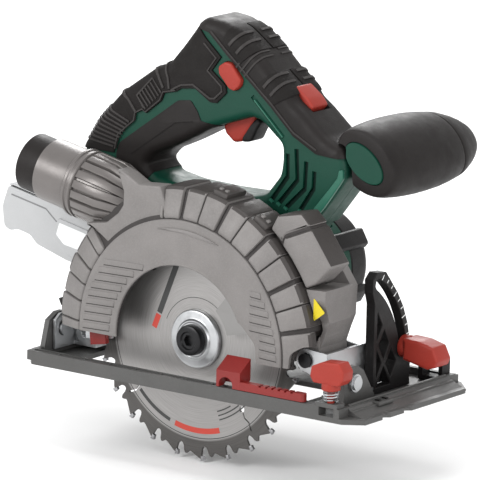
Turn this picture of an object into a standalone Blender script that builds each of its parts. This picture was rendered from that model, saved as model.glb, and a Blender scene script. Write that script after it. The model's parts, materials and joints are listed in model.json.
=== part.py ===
"""Cordless circular saw, 150 mm blade, shown at full cutting depth and zero bevel.

The saw is drawn about its blade centre: X forward along the cut, Y across towards the
motor, Z up. All shapes below are in millimetres about that point, and the empty
"saw_frame" carries them to the part's own frame, whose origin is on the sole's underside.
"""
import math

import bmesh
import bpy
import numpy as np
from mathutils import Matrix, Vector

MM = 0.001
GAP = 0.3

# --- driving dimensions, millimetres ---------------------------------------------------
SOLE_BOTTOM = -27.0
MOUNT_Y = 40.0
BLADE_R = 75.0
BLADE_TEETH = 24
BLADE_FIRST_TOOTH = 198.1
BLADE_HALF = 0.8

GUARD_R = 94.0
GUARD_WALL = 4.0
GUARD_NEAR = -20.0
GUARD_FAR = 18.0
GUARD_FACE_R = 75.0
WINDOW_R = 47.0
GUARD_BOTTOM = -3.0

BEVEL_Y, BEVEL_Z = -1.0, -9.0
BEVEL_SLOT_R = 62.8
BEVEL_START, BEVEL_RANGE = 9.2, 45.0
DEPTH_X, DEPTH_Z = 84.0, 0.8
DEPTH_ARM_R = 176.0
DEPTH_START, DEPTH_RANGE = 181.0, 27.0

GEAR_MODULE = 1.5
PINION_TEETH, WHEEL_TEETH = 9, 21
STAGE_DISTANCE = GEAR_MODULE * (PINION_TEETH + WHEEL_TEETH) / 2
MOTOR = (22.0, 36.66)
LAYSHAFT_SIDE = 1

PORT_TILT = math.radians(11.5)
PORT_END = (-130.5, 5.0, 89.0)
PACK_TOP_REAR = (-167.0, 68.0)
HANDLE_NEAR, HANDLE_MID, HANDLE_FAR = 28.0, 45.0, 62.0
PACK_NEAR, PACK_FAR = 28.5, 98.0
CLAMP = (115.5, -25.8)
AUX_CENTRE = (96.5, 114.5)
AUX_TILT = math.radians(-37.0)

# --- colours: base colour, roughness, metallic ------------------------------------------
FINISHES = {
    "guard_grey": ((0.30, 0.29, 0.285), 0.48, 0.35),
    "shoe_grey": ((0.18, 0.185, 0.18), 0.5, 0.3),
    "green": ((0.016, 0.13, 0.085), 0.45, 0.0),
    "rubber": ((0.03, 0.028, 0.028), 0.75, 0.0),
    "black": ((0.025, 0.025, 0.027), 0.5, 0.0),
    "red": ((0.45, 0.05, 0.035), 0.4, 0.0),
    "steel": ((0.62, 0.63, 0.64), 0.28, 1.0),
    "blade": ((0.42, 0.41, 0.40), 0.32, 1.0),
    "pack": ((0.50, 0.51, 0.51), 0.5, 0.0),
    "brass": ((0.60, 0.45, 0.20), 0.35, 1.0),
    "copper": ((0.55, 0.24, 0.12), 0.4, 1.0),
    "board": ((0.03, 0.16, 0.06), 0.5, 0.0),
    "cell": ((0.05, 0.20, 0.40), 0.4, 0.0),
}

for stale in list(bpy.data.objects):
    bpy.data.objects.remove(stale, do_unlink=True)

saw = bpy.data.collections.new("circular_saw")
bpy.context.scene.collection.children.link(saw)
frame = bpy.data.objects.new("saw_frame", None)
frame.location = (0.0, -MOUNT_Y * MM, -SOLE_BOTTOM * MM)
saw.objects.link(frame)


# --- modelling helpers -------------------------------------------------------------------
def finish(name):
    """Principled material of one named finish."""
    found = bpy.data.materials.get(name)
    if found:
        return found
    colour, roughness, metallic = FINISHES[name]
    made = bpy.data.materials.new(name)
    made.use_nodes = True
    shader = made.node_tree.nodes["Principled BSDF"]
    shader.inputs["Base Color"].default_value = (*colour, 1.0)
    shader.inputs["Roughness"].default_value = roughness
    shader.inputs["Metallic"].default_value = metallic
    made.diffuse_color = (*colour, 1.0)
    return made


def temporary(mesh):
    made = bpy.data.objects.new("shape", mesh)
    bpy.context.scene.collection.objects.link(made)
    return made


def evaluated(source, outward=True):
    """The object's evaluated mesh, welded, in place of the object itself."""
    graph = bpy.context.evaluated_depsgraph_get()
    mesh = bpy.data.meshes.new_from_object(source.evaluated_get(graph))
    mesh.transform(source.matrix_world)
    bpy.data.objects.remove(source, do_unlink=True)
    tidy = bmesh.new()
    tidy.from_mesh(mesh)
    bmesh.ops.remove_doubles(tidy, verts=tidy.verts, dist=1e-6)
    if outward:
        bmesh.ops.recalc_face_normals(tidy, faces=tidy.faces)
    tidy.to_mesh(mesh)
    tidy.free()
    return temporary(mesh)


def from_bmesh(shape):
    mesh = bpy.data.meshes.new("shape")
    bmesh.ops.recalc_face_normals(shape, faces=shape.faces)
    shape.to_mesh(mesh)
    shape.free()
    return temporary(mesh)


def box(x, y, z):
    """Block between two values along each axis."""
    shape = bmesh.new()
    bmesh.ops.create_cube(shape, size=1.0)
    for vert in shape.verts:
        for axis, (low, high) in enumerate((x, y, z)):
            vert.co[axis] = MM * (low + high + (high - low) * 2 * vert.co[axis]) / 2
    return from_bmesh(shape)


AXES = {"X": Matrix.Rotation(math.pi / 2, 4, "Y"), "Y": Matrix.Rotation(-math.pi / 2, 4, "X"),
        "Z": Matrix.Identity(4)}


def rod(axis, centre, radius, span, sides=20, far_radius=None):
    """Cylinder or cone along an axis: centre is the other two coordinates."""
    shape = bmesh.new()
    length = span[1] - span[0]
    bmesh.ops.create_cone(shape, cap_ends=True, segments=sides, radius1=radius * MM,
                          radius2=(radius if far_radius is None else far_radius) * MM,
                          depth=length * MM)
    middle = (span[0] + span[1]) / 2
    place = {"X": (middle, *centre), "Y": (centre[0], middle, centre[1]), "Z": (*centre, middle)}
    bmesh.ops.transform(shape, verts=shape.verts,
                        matrix=Matrix.Translation(Vector(place[axis]) * MM) @ AXES[axis])
    return from_bmesh(shape)


# A curve's own XY plane is laid in the XZ plane, or in the YZ plane, before use.
LAY = {"Y": Matrix(((1, 0, 0, 0), (0, 0, -1, 0), (0, 1, 0, 0), (0, 0, 0, 1))),
       "X": Matrix(((0, 0, 1, 0), (1, 0, 0, 0), (0, 1, 0, 0), (0, 0, 0, 1))),
       "Z": Matrix.Identity(4)}


def plate(axis, outline, span, holes=()):
    """Flat outline, with holes, extruded between two values along an axis."""
    curve = bpy.data.curves.new("outline", "CURVE")
    curve.dimensions = "2D"
    curve.fill_mode = "BOTH"
    curve.extrude = (span[1] - span[0]) / 2 * MM
    for ring in (outline, *holes):
        spline = curve.splines.new("POLY")
        spline.points.add(len(ring) - 1)
        for point, (u, v) in zip(spline.points, ring):
            point.co = (u * MM, v * MM, 0.0, 1.0)
        spline.use_cyclic_u = True
    laid = temporary(curve)
    shift = Vector((0.0, 0.0, 0.0))
    shift["XYZ".index(axis)] = (span[0] + span[1]) / 2 * MM
    laid.matrix_world = Matrix.Translation(shift) @ LAY[axis]
    bpy.context.view_layer.update()
    return evaluated(laid)


def turned(profile, sides=40, centre=(0.0, 0.0), bore=True):
    """Closed (radius, y) profile turned about an axis parallel to Y."""
    mesh = bpy.data.meshes.new("profile")
    points = [(radius * MM, 0.0, y * MM) for radius, y in profile]
    count = len(points)
    edges = [(i, (i + 1) % count) for i in range(count if bore else count - 1)]
    mesh.from_pydata(points, edges, [])
    made = temporary(mesh)
    screw = made.modifiers.new("turn", "SCREW")
    screw.axis = "Z"
    screw.steps = screw.render_steps = sides
    screw.use_merge_vertices = True
    screw.merge_threshold = 1e-6
    made.matrix_world = Matrix.Translation((centre[0] * MM, 0.0, centre[1] * MM)) @ AXES["Y"]
    bpy.context.view_layer.update()
    return evaluated(made)


def coil_spring(start, axis, radius, length, wire, coils):
    """Open coil about a line along an axis from the start point."""
    curve = bpy.data.curves.new("coil", "CURVE")
    curve.dimensions = "3D"
    curve.bevel_depth = wire * MM
    curve.bevel_resolution = 0
    curve.use_fill_caps = True
    spline = curve.splines.new("POLY")
    stations = 9 * coils
    spline.points.add(stations)
    for i, point in enumerate(spline.points):
        u, v = polar(radius, 360.0 * i / 9)
        rise = length * i / stations
        offset = (u, rise, v) if axis == "Y" else (u, v, rise)
        point.co = (*((start[k] + offset[k]) * MM for k in range(3)), 1.0)
    return evaluated(temporary(curve))


def combine(target, tool, operation):
    change = target.modifiers.new("change", "BOOLEAN")
    change.operation = operation
    change.solver = "EXACT"
    change.object = tool
    tool.hide_render = True
    tool.display_type = "WIRE"
    bpy.context.view_layer.update()
    result = evaluated(target, outward=False)
    bpy.data.objects.remove(tool, do_unlink=True)
    return result


def cut(target, *tools):
    for tool in tools:
        target = combine(target, tool, "DIFFERENCE")
    return target


def join(target, *tools):
    for tool in tools:
        target = combine(target, tool, "UNION")
    return target


def moved(shape, matrix):
    shape.data.transform(matrix)
    return shape


def part(name, shape, look, pivot=(0.0, 0.0, 0.0)):
    """Names a finished solid and puts its origin on its pivot, millimetres."""
    origin = Vector(pivot) * MM
    shape.data.transform(Matrix.Translation(-origin))
    shape.name = shape.data.name = name
    shape.location = origin
    shape.data.materials.clear()
    shape.data.materials.append(finish(look))
    shape.data.shade_smooth()
    shape.data.set_sharp_from_angle(angle=math.radians(30.0))
    bpy.context.scene.collection.objects.unlink(shape)
    saw.objects.link(shape)
    shape.parent = frame
    return shape


def polar(radius, degrees, centre=(0.0, 0.0)):
    angle = math.radians(degrees)
    return (centre[0] + radius * math.cos(angle), centre[1] + radius * math.sin(angle))


def arc(radius, start, end, centre=(0.0, 0.0), step=8.0):
    """Points along an arc, both ends included."""
    count = max(2, int(abs(end - start) / step) + 1)
    return [polar(radius, angle, centre) for angle in np.linspace(start, end, count)]


def ring_sector(inner, outer, start, end, step=8.0):
    return arc(outer, start, end, step=step) + arc(inner, end, start, step=step)


def arc_slot(radius, half_width, start, end, centre):
    """Outline of a slot of round ends along an arc."""
    low, high = polar(radius, start, centre), polar(radius, end, centre)
    return (arc(radius + half_width, start, end, centre, 3.0)
            + arc(half_width, end, end + 180.0, high, 45.0)[1:-1]
            + arc(radius - half_width, end, start, centre, 3.0)
            + arc(half_width, start + 180.0, start + 360.0, low, 45.0)[1:-1])


def hull(*circles, sides=20):
    """Convex outline around circles given as (x, z, radius)."""
    points = sorted(polar(r, 360.0 * i / sides, (x, z)) for x, z, r in circles for i in range(sides))

    def chain(ordered):
        kept = []
        for point in ordered:
            while len(kept) > 1 and ((kept[-1][0] - kept[-2][0]) * (point[1] - kept[-2][1])
                                     <= (kept[-1][1] - kept[-2][1]) * (point[0] - kept[-2][0])):
                kept.pop()
            kept.append(point)
        return kept[:-1]

    return chain(points) + chain(points[::-1])


def slope(angle, origin):
    """Rotation about Y through a point, so that +X turns up by angle."""
    place = Matrix.Translation(Vector(origin) * MM)
    return place @ Matrix.Rotation(-angle, 4, "Y") @ place.inverted()


def circle(radius, centre, sides=18):
    return [polar(radius, 360.0 * i / sides, centre) for i in range(sides)]


# --- gear train ----------------------------------------------------------------------------
def gear_outline(teeth, tooth_angle, centre):
    """Straight-flanked teeth: thinner than the gap, so that the train runs free."""
    pitch = 360.0 / teeth
    rim = GEAR_MODULE * teeth / 2
    root, tip = rim - 1.0 * GEAR_MODULE, rim + 0.7 * GEAR_MODULE
    points = []
    for i in range(teeth):
        middle = tooth_angle + i * pitch
        points.append(polar(root, middle - 0.27 * pitch, centre))
        points.append(polar(tip, middle - 0.11 * pitch, centre))
        points.append(polar(tip, middle + 0.11 * pitch, centre))
        points.append(polar(root, middle + 0.27 * pitch, centre))
    return points


motor_reach = math.hypot(*MOTOR)
motor_angle = math.degrees(math.atan2(MOTOR[1], MOTOR[0]))
lean = math.degrees(math.acos(motor_reach / 2 / STAGE_DISTANCE))
LAY_ANGLE = motor_angle - LAYSHAFT_SIDE * lean
LAYSHAFT = polar(STAGE_DISTANCE, LAY_ANGLE)
MESH_ANGLE = math.degrees(math.atan2(MOTOR[1] - LAYSHAFT[1], MOTOR[0] - LAYSHAFT[0]))
HALF_PINION = 180.0 / PINION_TEETH

output_gear = plate("Y", gear_outline(WHEEL_TEETH, LAY_ANGLE, (0, 0)), (20.5, 26.0),
                    [circle(6.3, (0, 0))])
part("output_gear", output_gear, "steel")
lay_gear = join(
    plate("Y", gear_outline(WHEEL_TEETH, MESH_ANGLE, LAYSHAFT), (27.2, 32.0)),
    plate("Y", gear_outline(PINION_TEETH, LAY_ANGLE + 180.0 + HALF_PINION, LAYSHAFT), (20.5, 27.6)),
    rod("Y", LAYSHAFT, 2.5, (19.0, 36.0), 20))
part("layshaft_gear", lay_gear, "steel", (LAYSHAFT[0], 0, LAYSHAFT[1]))

# --- spindle, flanges and blade --------------------------------------------------------------
spindle = turned([(0.0, 13.0), (3.4, 12.0), (3.4, -0.8), (6.0, -0.8), (6.0, 26.4), (4.0, 26.4),
                  (4.0, 38.0), (0.0, 38.0)], 20, bore=False)
part("output_spindle", spindle, "steel")
part("inner_flange", turned([(17.0, 1.1), (17.0, 4.5), (6.3, 4.5), (6.3, -0.7), (7.6, -0.7),
                             (7.6, 1.1)], 28), "steel")
part("outer_flange", turned([(17.8, -1.2), (3.4, -1.2), (3.4, -6.0), (10.6, -6.0), (11.6, -5.0),
                             (15.4, -5.0), (17.8, -3.4)], 32), "steel")
bolt = turned([(0.0, -10.8), (8.2, -10.8), (9.4, -9.6), (9.4, -6.3), (3.0, -6.3), (3.0, 11.0),
               (0.0, 11.0)], 24, bore=False)
bolt = cut(bolt, plate("Y", circle(3.6, (0, 0), 6), (-12.0, -7.5)))
part("blade_bolt", bolt, "black")


def blade_outline():
    """Hooked teeth: tip, deep gullet, small limiter spur and long back slope."""
    stations = ((1.000, 0.0), (0.906, 0.5), (0.880, 2.2), (0.893, 4.2), (0.950, 5.0),
                (0.962, 6.3), (0.935, 7.6))
    points = []
    for tooth in range(BLADE_TEETH):
        start = BLADE_FIRST_TOOTH + tooth * 360.0 / BLADE_TEETH
        points += [polar(BLADE_R * share, start + turn) for share, turn in stations]
    return points


part("blade", plate("Y", blade_outline(), (-BLADE_HALF, BLADE_HALF), [circle(7.9, (0, 0))]), "blade")

# --- bearings --------------------------------------------------------------------------------
def bearing(name, centre, inner, outer, span):
    near, far = span
    profile = [(outer, near), (outer, far), (inner, far), (inner, near)]
    part(name, turned(profile, 18, centre), "steel")


bearing("spindle_bearing_near", (0, 0), 6.3, 14.0, (9.0, 17.0))
bearing("spindle_bearing_far", (0, 0), 4.3, 8.0, (34.8, 38.6))
bearing("motor_bearing_near", MOTOR, 2.8, 7.0, (36.0, 40.0))
bearing("motor_bearing_far", MOTOR, 2.8, 7.0, (88.5, 92.0))

# --- motor -----------------------------------------------------------------------------------
shaft = join(plate("Y", gear_outline(PINION_TEETH, MESH_ANGLE + 180.0 + HALF_PINION, MOTOR), (27.2, 33.5)),
             rod("Y", MOTOR, 2.5, (25.0, 92.5), 20))
part("armature_shaft", shaft, "steel", (MOTOR[0], 0, MOTOR[1]))
core_points = []
for slot in range(8):
    core_points += [polar(20.0, slot * 45.0 + t, MOTOR) for t in (0.0, 9.0, 18.0, 27.0, 36.0)]
    core_points += [polar(12.0, slot * 45.0 + t, MOTOR) for t in (36.5, 44.5)]
core = join(plate("Y", core_points, (54.0, 80.0), [circle(2.8, MOTOR)]),
            turned([(9.0, 79.5), (9.0, 87.0), (2.8, 87.0), (2.8, 79.5)], 18, MOTOR))
part("armature_core", core, "copper", (MOTOR[0], 0, MOTOR[1]))
part("motor_can", turned([(27.0, 51.0), (27.0, 85.0), (21.0, 85.0), (21.0, 51.0)], 28, MOTOR), "steel")

fan = turned([(24.0, 43.0), (24.0, 44.5), (6.0, 44.5), (6.0, 49.0), (2.8, 49.0), (2.8, 43.0)], 24, MOTOR)
for turn in range(7):
    vane = box((MOTOR[0] + 5.5, MOTOR[0] + 23.0), (44.2, 48.6), (MOTOR[1] - 0.6, MOTOR[1] + 0.6))
    fan = join(fan, moved(vane, slope(math.radians(360.0 / 7 * turn), (MOTOR[0], 0, MOTOR[1]))))
part("cooling_fan", fan, "black", (MOTOR[0], 0, MOTOR[1]))

front_plate = hull((0, 0, 12.0), (*MOTOR, 33.0), (*LAYSHAFT, 12.0))
motor_body = join(plate("Y", front_plate, (34.3, 41.0)), rod("Y", MOTOR, 34.0, (34.3, 78.0), 36))
motor_body = cut(motor_body, rod("Y", MOTOR, 31.0, (41.5, 79.0), 36),
                 rod("Y", MOTOR, 7.3, (35.2, 42.0), 24), rod("Y", MOTOR, 3.2, (33.0, 36.0), 20),
                 rod("Y", (0, 0), 8.3, (33.0, 39.2), 24), rod("Y", LAYSHAFT, 2.8, (33.0, 37.0), 20))
seat = cut(rod("Y", MOTOR, 32.0, (55.0, 60.0), 28), rod("Y", MOTOR, 27.5, (54.0, 61.0), 28))
motor_body = join(motor_body, seat)
part("motor_housing", motor_body, "green")

end_cover = turned([(0.0, 98.0), (28.0, 98.0), (34.0, 92.0), (34.0, 78.3), (31.5, 78.3), (31.5, 91.0),
                    (27.0, 95.5), (9.5, 95.5), (9.5, 88.0), (7.3, 88.0), (7.3, 95.5), (0.0, 95.5)],
                   36, MOTOR, bore=False)
for claw in range(6):
    finger = plate("Y", [(MOTOR[0] + 33.0, MOTOR[1] - 6.5), (MOTOR[0] + 37.2, MOTOR[1] - 4.5),
                         (MOTOR[0] + 37.2, MOTOR[1] + 4.5), (MOTOR[0] + 33.0, MOTOR[1] + 6.5)],
                   (78.6, 94.0))
    hook = plate("Y", [(MOTOR[0] + 34.4, MOTOR[1] - 5.0), (MOTOR[0] + 37.2, MOTOR[1] - 4.5),
                       (MOTOR[0] + 37.2, MOTOR[1] + 4.5), (MOTOR[0] + 34.4, MOTOR[1] + 5.0)],
                 (64.0, 79.5))
    turn = slope(math.radians(30.0 + 60.0 * claw), (MOTOR[0], 0, MOTOR[1]))
    end_cover = join(end_cover, moved(join(finger, hook), turn))
for vent in range(4):
    slit = box((MOTOR[0] + 13.0, MOTOR[0] + 24.0), (94.0, 99.0), (MOTOR[1] - 1.6, MOTOR[1] + 1.6))
    end_cover = cut(end_cover, moved(slit, slope(math.radians(90.0 * vent), (MOTOR[0], 0, MOTOR[1]))))
part("motor_end_cover", end_cover, "black")

# --- gear housing with the front arm, and the front housing ------------------------------------
case = join(
    plate("Y", hull((0, 0, 19.5), (*LAYSHAFT, 19.5), (*MOTOR, 32.0)), (18.3, 34.0)),
    plate("Y", [(10, -16), (77, -5.4), (90.5, -5.0), (90.0, 9.0), (93.0, 17.5), (96.0, 25),
                (96.8, 43), (84, 61), (48, 64)], (18.6, 25.5)),
    rod("Y", (0, 0), 16.5, (5.2, 18.8), 36),
    plate("Y", arc(94.6, 9.0, 27.4) + [(98, 44.3), (97, 24), (93.9, 16.6)], (-8.5, 19.2)),
    plate("Y", [(76.5, 10.0), (76.2, -5.8), (91.4, -5.6), (91.0, 8.5), (94.6, 18.4), (93.2, 21.0),
                (88.5, 10.2)], (-4.0, 19.6)))
case = cut(case, plate("Y", hull((0, 0, 17.4), (*LAYSHAFT, 17.4), (*MOTOR, 9.5)), (20.0, 35.0)),
           rod("Y", (0, 0), 14.3, (8.6, 20.5), 36), rod("Y", (0, 0), 8.0, (4.0, 9.0), 28),
           rod("Y", LAYSHAFT, 2.8, (18.8, 20.5), 20), rod("Y", (DEPTH_X, DEPTH_Z), 3.3, (-6.0, 27.0), 24),
           rod("X", (23.0, 0.0), 3.3, (-22.0, -15.0), 20),
           box((80.0, 99.0), (-3.7, 26.5), (-9.5, -6.0)),
           plate("X", [(-12, 8), (-2.5, 8), (-2.5, 24), (-8.9, 39.0), (-12, 39.0)], (90.6, 100.0)))
part("gear_housing", case, "guard_grey")

nose = plate("Y", arc(94.6, 27.6, 53.0) + [(62.0, 85.5), (79.0, 88.5), (87.5, 81.0), (103.0, 59.5),
                                           (92.0, 48.5)], (-10.0, 10.0))
nose = cut(nose, rod("X", (0.0, 66.0), 4.2, (97.0, 110.0), 20))
part("front_housing", nose, "guard_grey")

# --- upper guard with the dust outlet ------------------------------------------------------------
def port(radius, start, end, far=None, sides=28):
    """Rod along the tilted dust axis: distances run forward from the adapter's rear end."""
    made = rod("X", (PORT_END[1], PORT_END[2]), radius, (PORT_END[0] + start, PORT_END[0] + end),
               sides, far)
    return moved(made, slope(-PORT_TILT, PORT_END))


guard = join(
    turned([(0.0, GUARD_NEAR), (GUARD_FACE_R, GUARD_NEAR), (GUARD_R, -14.0), (GUARD_R, 13.0),
            (GUARD_R - 3.0, GUARD_FAR), (0.0, GUARD_FAR)], 48, bore=False),
    plate("Y", [(-12, 88), (-16, 92.0), (-50, 94.0), (-68, 96.0), (-84, 88), (-87, 62), (-78, 40),
                (-40, 40)], (-15.2, GUARD_FAR - 0.8)),
    port(19.5, 15.0, 70.0), port(21.5, 38.0, 44.0), port(19.9, 50.0, 64.0, 16.0))
guard = cut(
    guard,
    turned([(0.0, GUARD_NEAR + 3.0), (GUARD_FACE_R - 1.5, GUARD_NEAR + 3.0), (GUARD_R - GUARD_WALL, -11.5),
            (GUARD_R - GUARD_WALL, 13.0), (GUARD_R - GUARD_WALL - 2.0, GUARD_FAR - 2.8),
            (0.0, GUARD_FAR - 2.8)], 48, bore=False),
    rod("Y", (0, 0), WINDOW_R, (-30.0, -15.0), 40),
    plate("Y", [(-WINDOW_R + 0.3, 2), (-WINDOW_R + 0.3, -12), (57, -12), (57, -4), (56, 8), (46, 18),
                (30, 20)], (-29.0, -14.4)),
    rod("Y", (0, 0), 16.9, (10.0, 25.0), 28),
    port(16.0, -5.0, 76.0),
    box((-110, 110), (-30, 30), (-120, GUARD_BOTTOM)),
    plate("Y", [(74, -10), (110, -10), (110, 21), (91.5, 21), (86, 11), (74, 11)], (-9.0, 30.0)))
guard = join(guard, box((-99.0, -85.5), (15.6, GUARD_FAR - 0.4), (-9.0, 6.0)))
part("upper_guard", guard, "guard_grey")

adapter = port(17.8, 0.0, 14.7)
adapter = join(adapter, port(15.6, 14.0, 30.0))
adapter = cut(adapter, port(13.6, -2.0, 32.0))
part("dust_adapter", adapter, "rubber", PORT_END)

# --- lower guard ---------------------------------------------------------------------------------
LOW, HIGH = 13.0, 188.0
lower = turned([(80.2, -7.0), (80.2, 8.5), (21.0, 8.5), (21.0, 9.8), (16.9, 9.8), (16.9, 6.6), (76.8, 6.6),
                (76.8, -5.4), (60.0, -5.4), (60.0, -7.0)], 48)
lower = cut(lower, plate("Y", ring_sector(21.6, 95.0, HIGH - 360.0, LOW), (-12.0, 12.0)))
lower = join(lower, plate("Y", ring_sector(27.0, 62.0, LOW + 1.0, 50.0), (-6.8, -5.6)))
part("lower_guard", lower, "blade")
lever = plate("Y", ring_sector(62.5, 74.0, 178.0, 190.5, 6.0), (-10.6, -7.3))
part("guard_lever", lever, "red")

part("guard_return_spring", coil_spring((0.0, 10.7, 0.0), "Y", 18.6, 3.6, 0.6, 3), "steel")

# --- shoe ----------------------------------------------------------------------------------------
BACK, FRONT, NEAR, FAR_SIDE = -107.0, 137.4, -29.5, 94.0
PLATE_TOP = SOLE_BOTTOM + 3.0
sole_outline = [(BACK, NEAR + 4), (BACK + 4, NEAR), (126, NEAR), (FRONT, NEAR + 8)]
for notch in (0, 22):
    sole_outline += [(FRONT, notch - 4), (FRONT - 4, notch), (FRONT, notch + 4)]
sole_outline += [(FRONT, FAR_SIDE - 12), (126, FAR_SIDE), (BACK + 6, FAR_SIDE), (BACK, FAR_SIDE - 6)]
blade_slot = [(-84, -22), (84, -22), (84, 33), (-84, 33)]
shoe = plate("Z", sole_outline, (SOLE_BOTTOM, PLATE_TOP), [blade_slot])
shoe = join(
    shoe,
    box((BACK + 0.5, 124.0), (NEAR, -22.0), (PLATE_TOP - 0.5, -18.6)),
    box((BACK, BACK + 3.0), (-24.0, FAR_SIDE - 6), (PLATE_TOP - 0.5, -18.6)),
    box((BACK + 4, 124.0), (90.5, FAR_SIDE), (PLATE_TOP - 0.5, -19.6)),
    box((121.0, 124.0), (-22.5, 91.0), (PLATE_TOP - 0.5, -18.6)),
    plate("Y", [(123.5, PLATE_TOP - 0.5), (126, PLATE_TOP - 0.5), (136.5, PLATE_TOP - 2.0),
                (136.5, PLATE_TOP - 1.0), (126.0, -21.0), (123.5, -19.0)], (-20.0, 84.0)),
    box((107.0, 122.5), (NEAR, -22.0), (-20.0, -16.0)),
    plate("X", [(-11, PLATE_TOP - 0.5), (24, PLATE_TOP - 0.5), (9, -3), (2, 1), (-4, 1), (-9.5, -4)],
          (110.4, 114.0)),
    plate("X", [(-18, PLATE_TOP - 0.5), (26, PLATE_TOP - 0.5), (10, -3), (2, 1), (-4, 1), (-12, -3)],
          (-106.8, -103.4)))
shoe = cut(
    shoe,
    box((BACK + 3.5, 98.0), (-27.2, -23.6), (-22.0, -17.0)),
    box((109.5, 120.0), (-31.0, -20.0), (-23.8, -18.6)),
    rod("Z", CLAMP, 2.6, (-21.0, -14.0), 16),
    rod("X", (BEVEL_Y, BEVEL_Z), 3.2, (-108.0, -102.0), 24),
    rod("X", (BEVEL_Y, BEVEL_Z), 3.2, (109.0, 116.0), 24))
part("base_plate", shoe, "shoe_grey")

quadrant = [(31.0, PLATE_TOP + GAP), (31.0, 31.0), (28.6, 38.0), (28.6, 46.0), (33.0, 50.0), (42.0, 49.0)]
quadrant += arc(70.6, 47.0, -8.0, (BEVEL_Y, BEVEL_Z))[1:] + [(69.5, PLATE_TOP + GAP)]
bevel_slot = arc_slot(BEVEL_SLOT_R, 3.4, BEVEL_START - 1.0, BEVEL_START + BEVEL_RANGE + 1.0,
                      (BEVEL_Y, BEVEL_Z))
lattice = [[(34.0, -20.0), (49.0, -20.0), (41.5, -8.0)], [(34.0, -15.0), (39.5, -6.0), (34.0, 3.0)],
           [(41.5, -4.0), (47.0, 5.0), (41.5, 14.0), (36.0, 5.0)],
           [(34.0, 8.0), (39.5, 17.0), (34.0, 26.0)], [(49.0, -16.0), (54.5, -7.0), (49.0, 2.0), (43.5, -7.0)]]
part("bevel_quadrant", plate("X", quadrant, (99.4, 105.8), [bevel_slot, *lattice]), "black")

loop = cut(box((103.0, 120.4), (82.0, 90.2), (PLATE_TOP + GAP, -9.0)),
           box((106.0, 117.5), (80.0, 92.0), (-20.5, -12.5)),
           rod("Z", (112.0, 86.0), 2.6, (-13.0, -8.0), 20))
part("far_guide_bracket", loop, "black")

def rivet(name, head, far_head):
    """Bevel pivot pin: a domed head, a shank and a small upset far end."""
    reach = 1 if head > far_head else -1
    pin = join(rod("X", (BEVEL_Y, BEVEL_Z), 2.9, sorted((head + 0.7 * reach, far_head - 0.7 * reach)), 24),
               rod("X", (BEVEL_Y, BEVEL_Z), 5.4, sorted((head, head + 2.0 * reach)), 24),
               rod("X", (BEVEL_Y, BEVEL_Z), 4.2, sorted((head + 1.9 * reach, head + 3.2 * reach)), 24),
               rod("X", (BEVEL_Y, BEVEL_Z), 4.4, sorted((far_head, far_head - 1.4 * reach)), 24))
    part(name, pin, "steel")


rivet("bevel_pivot_front", 114.3, 107.7)
rivet("bevel_pivot_rear", -107.1, -100.6)

# --- guide clamp and rail catch --------------------------------------------------------------------
clamp = join(rod("Z", CLAMP, 2.2, (-18.2, -6.0), 16), rod("Z", CLAMP, 5.6, (-8.0, -4.0), 20),
             plate("Y", [(106.0, -4.6), (103.6, -1.0), (104.6, 5.0), (112.0, 8.4), (124.0, 9.2),
                         (127.6, 4.0), (127.2, -1.0), (124.0, -4.6)], (-31.0, -20.6)))
part("guide_clamp_knob", clamp, "red", (*CLAMP, 0))
part("guide_clamp_spring", coil_spring((*CLAMP, -15.0), "Z", 4.2, 6.0, 0.5, 4), "steel")

catch = join(plate("X", [(-29.3, -18.3), (-29.3, -8.3), (-18.6, -1.2), (-18.6, -14.0), (-24.2, -18.3)],
                   (35.2, 52.4)),
             box((52.0, 96.0), (-29.2, -24.3), (-18.3, -13.4)),
             rod("Z", (96.0, -26.75), 2.45, (-18.3, -13.4), 20))
catch = cut(catch, rod("Y", (42.0, -17.0), 5.0, (-32.0, -22.0), 28))
for ridge in range(6):
    catch = cut(catch, box((66.0 + 4.6 * ridge, 67.6 + 4.6 * ridge), (-30.0, -23.0), (-14.4, -12.0)))
part("rail_catch", catch, "red")

# --- bevel carriage: front and rear brackets, depth arm ---------------------------------------------
pivot = (DEPTH_X, DEPTH_Z)
knob_y, knob_z = polar(BEVEL_SLOT_R, BEVEL_START, (BEVEL_Y, BEVEL_Z))
front = join(
    plate("X", [(-7.2, -20), (52, -20), (66, -6), (66, 6.5), (-7.2, 6.5)], (96.8, 98.9)),
    plate("Y", arc(7.0, 90.0, 270.0, pivot, 15.0) + [(98.9, -12.0), (98.9, 6.5)], (-7.2, -5.2)),
    plate("Y", arc(7.0, 90.0, 270.0, pivot, 15.0) + [(98.9, -20.0), (98.9, 6.5)], (26.2, 28.2)),
    plate("Y", [(97, -19.9), (108.4, -19.9), (108.4, -17.8), (97, -17.8)], (-9.0, 27.6)),
    plate("X", [(-9.4, -19.9), (12, -19.9), (8, -3), (3, 0.5), (-5, 0.5), (-9, -3)], (107.9, 110.0)))
front = cut(front, rod("Y", pivot, 3.3, (-10.0, 30.0), 24),
            rod("X", (BEVEL_Y, BEVEL_Z), 4.7, (106.0, 112.0), 24),
            rod("X", (knob_y, knob_z), 3.1, (95.0, 100.0), 20))
part("front_bracket", front, "steel")
pin = join(rod("Y", pivot, 3.0, (-7.6, 28.6), 24), rod("Y", pivot, 4.4, (-9.0, -7.5), 24),
           rod("Y", pivot, 4.4, (28.5, 29.8), 24))
part("depth_pivot_pin", pin, "black")

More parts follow.
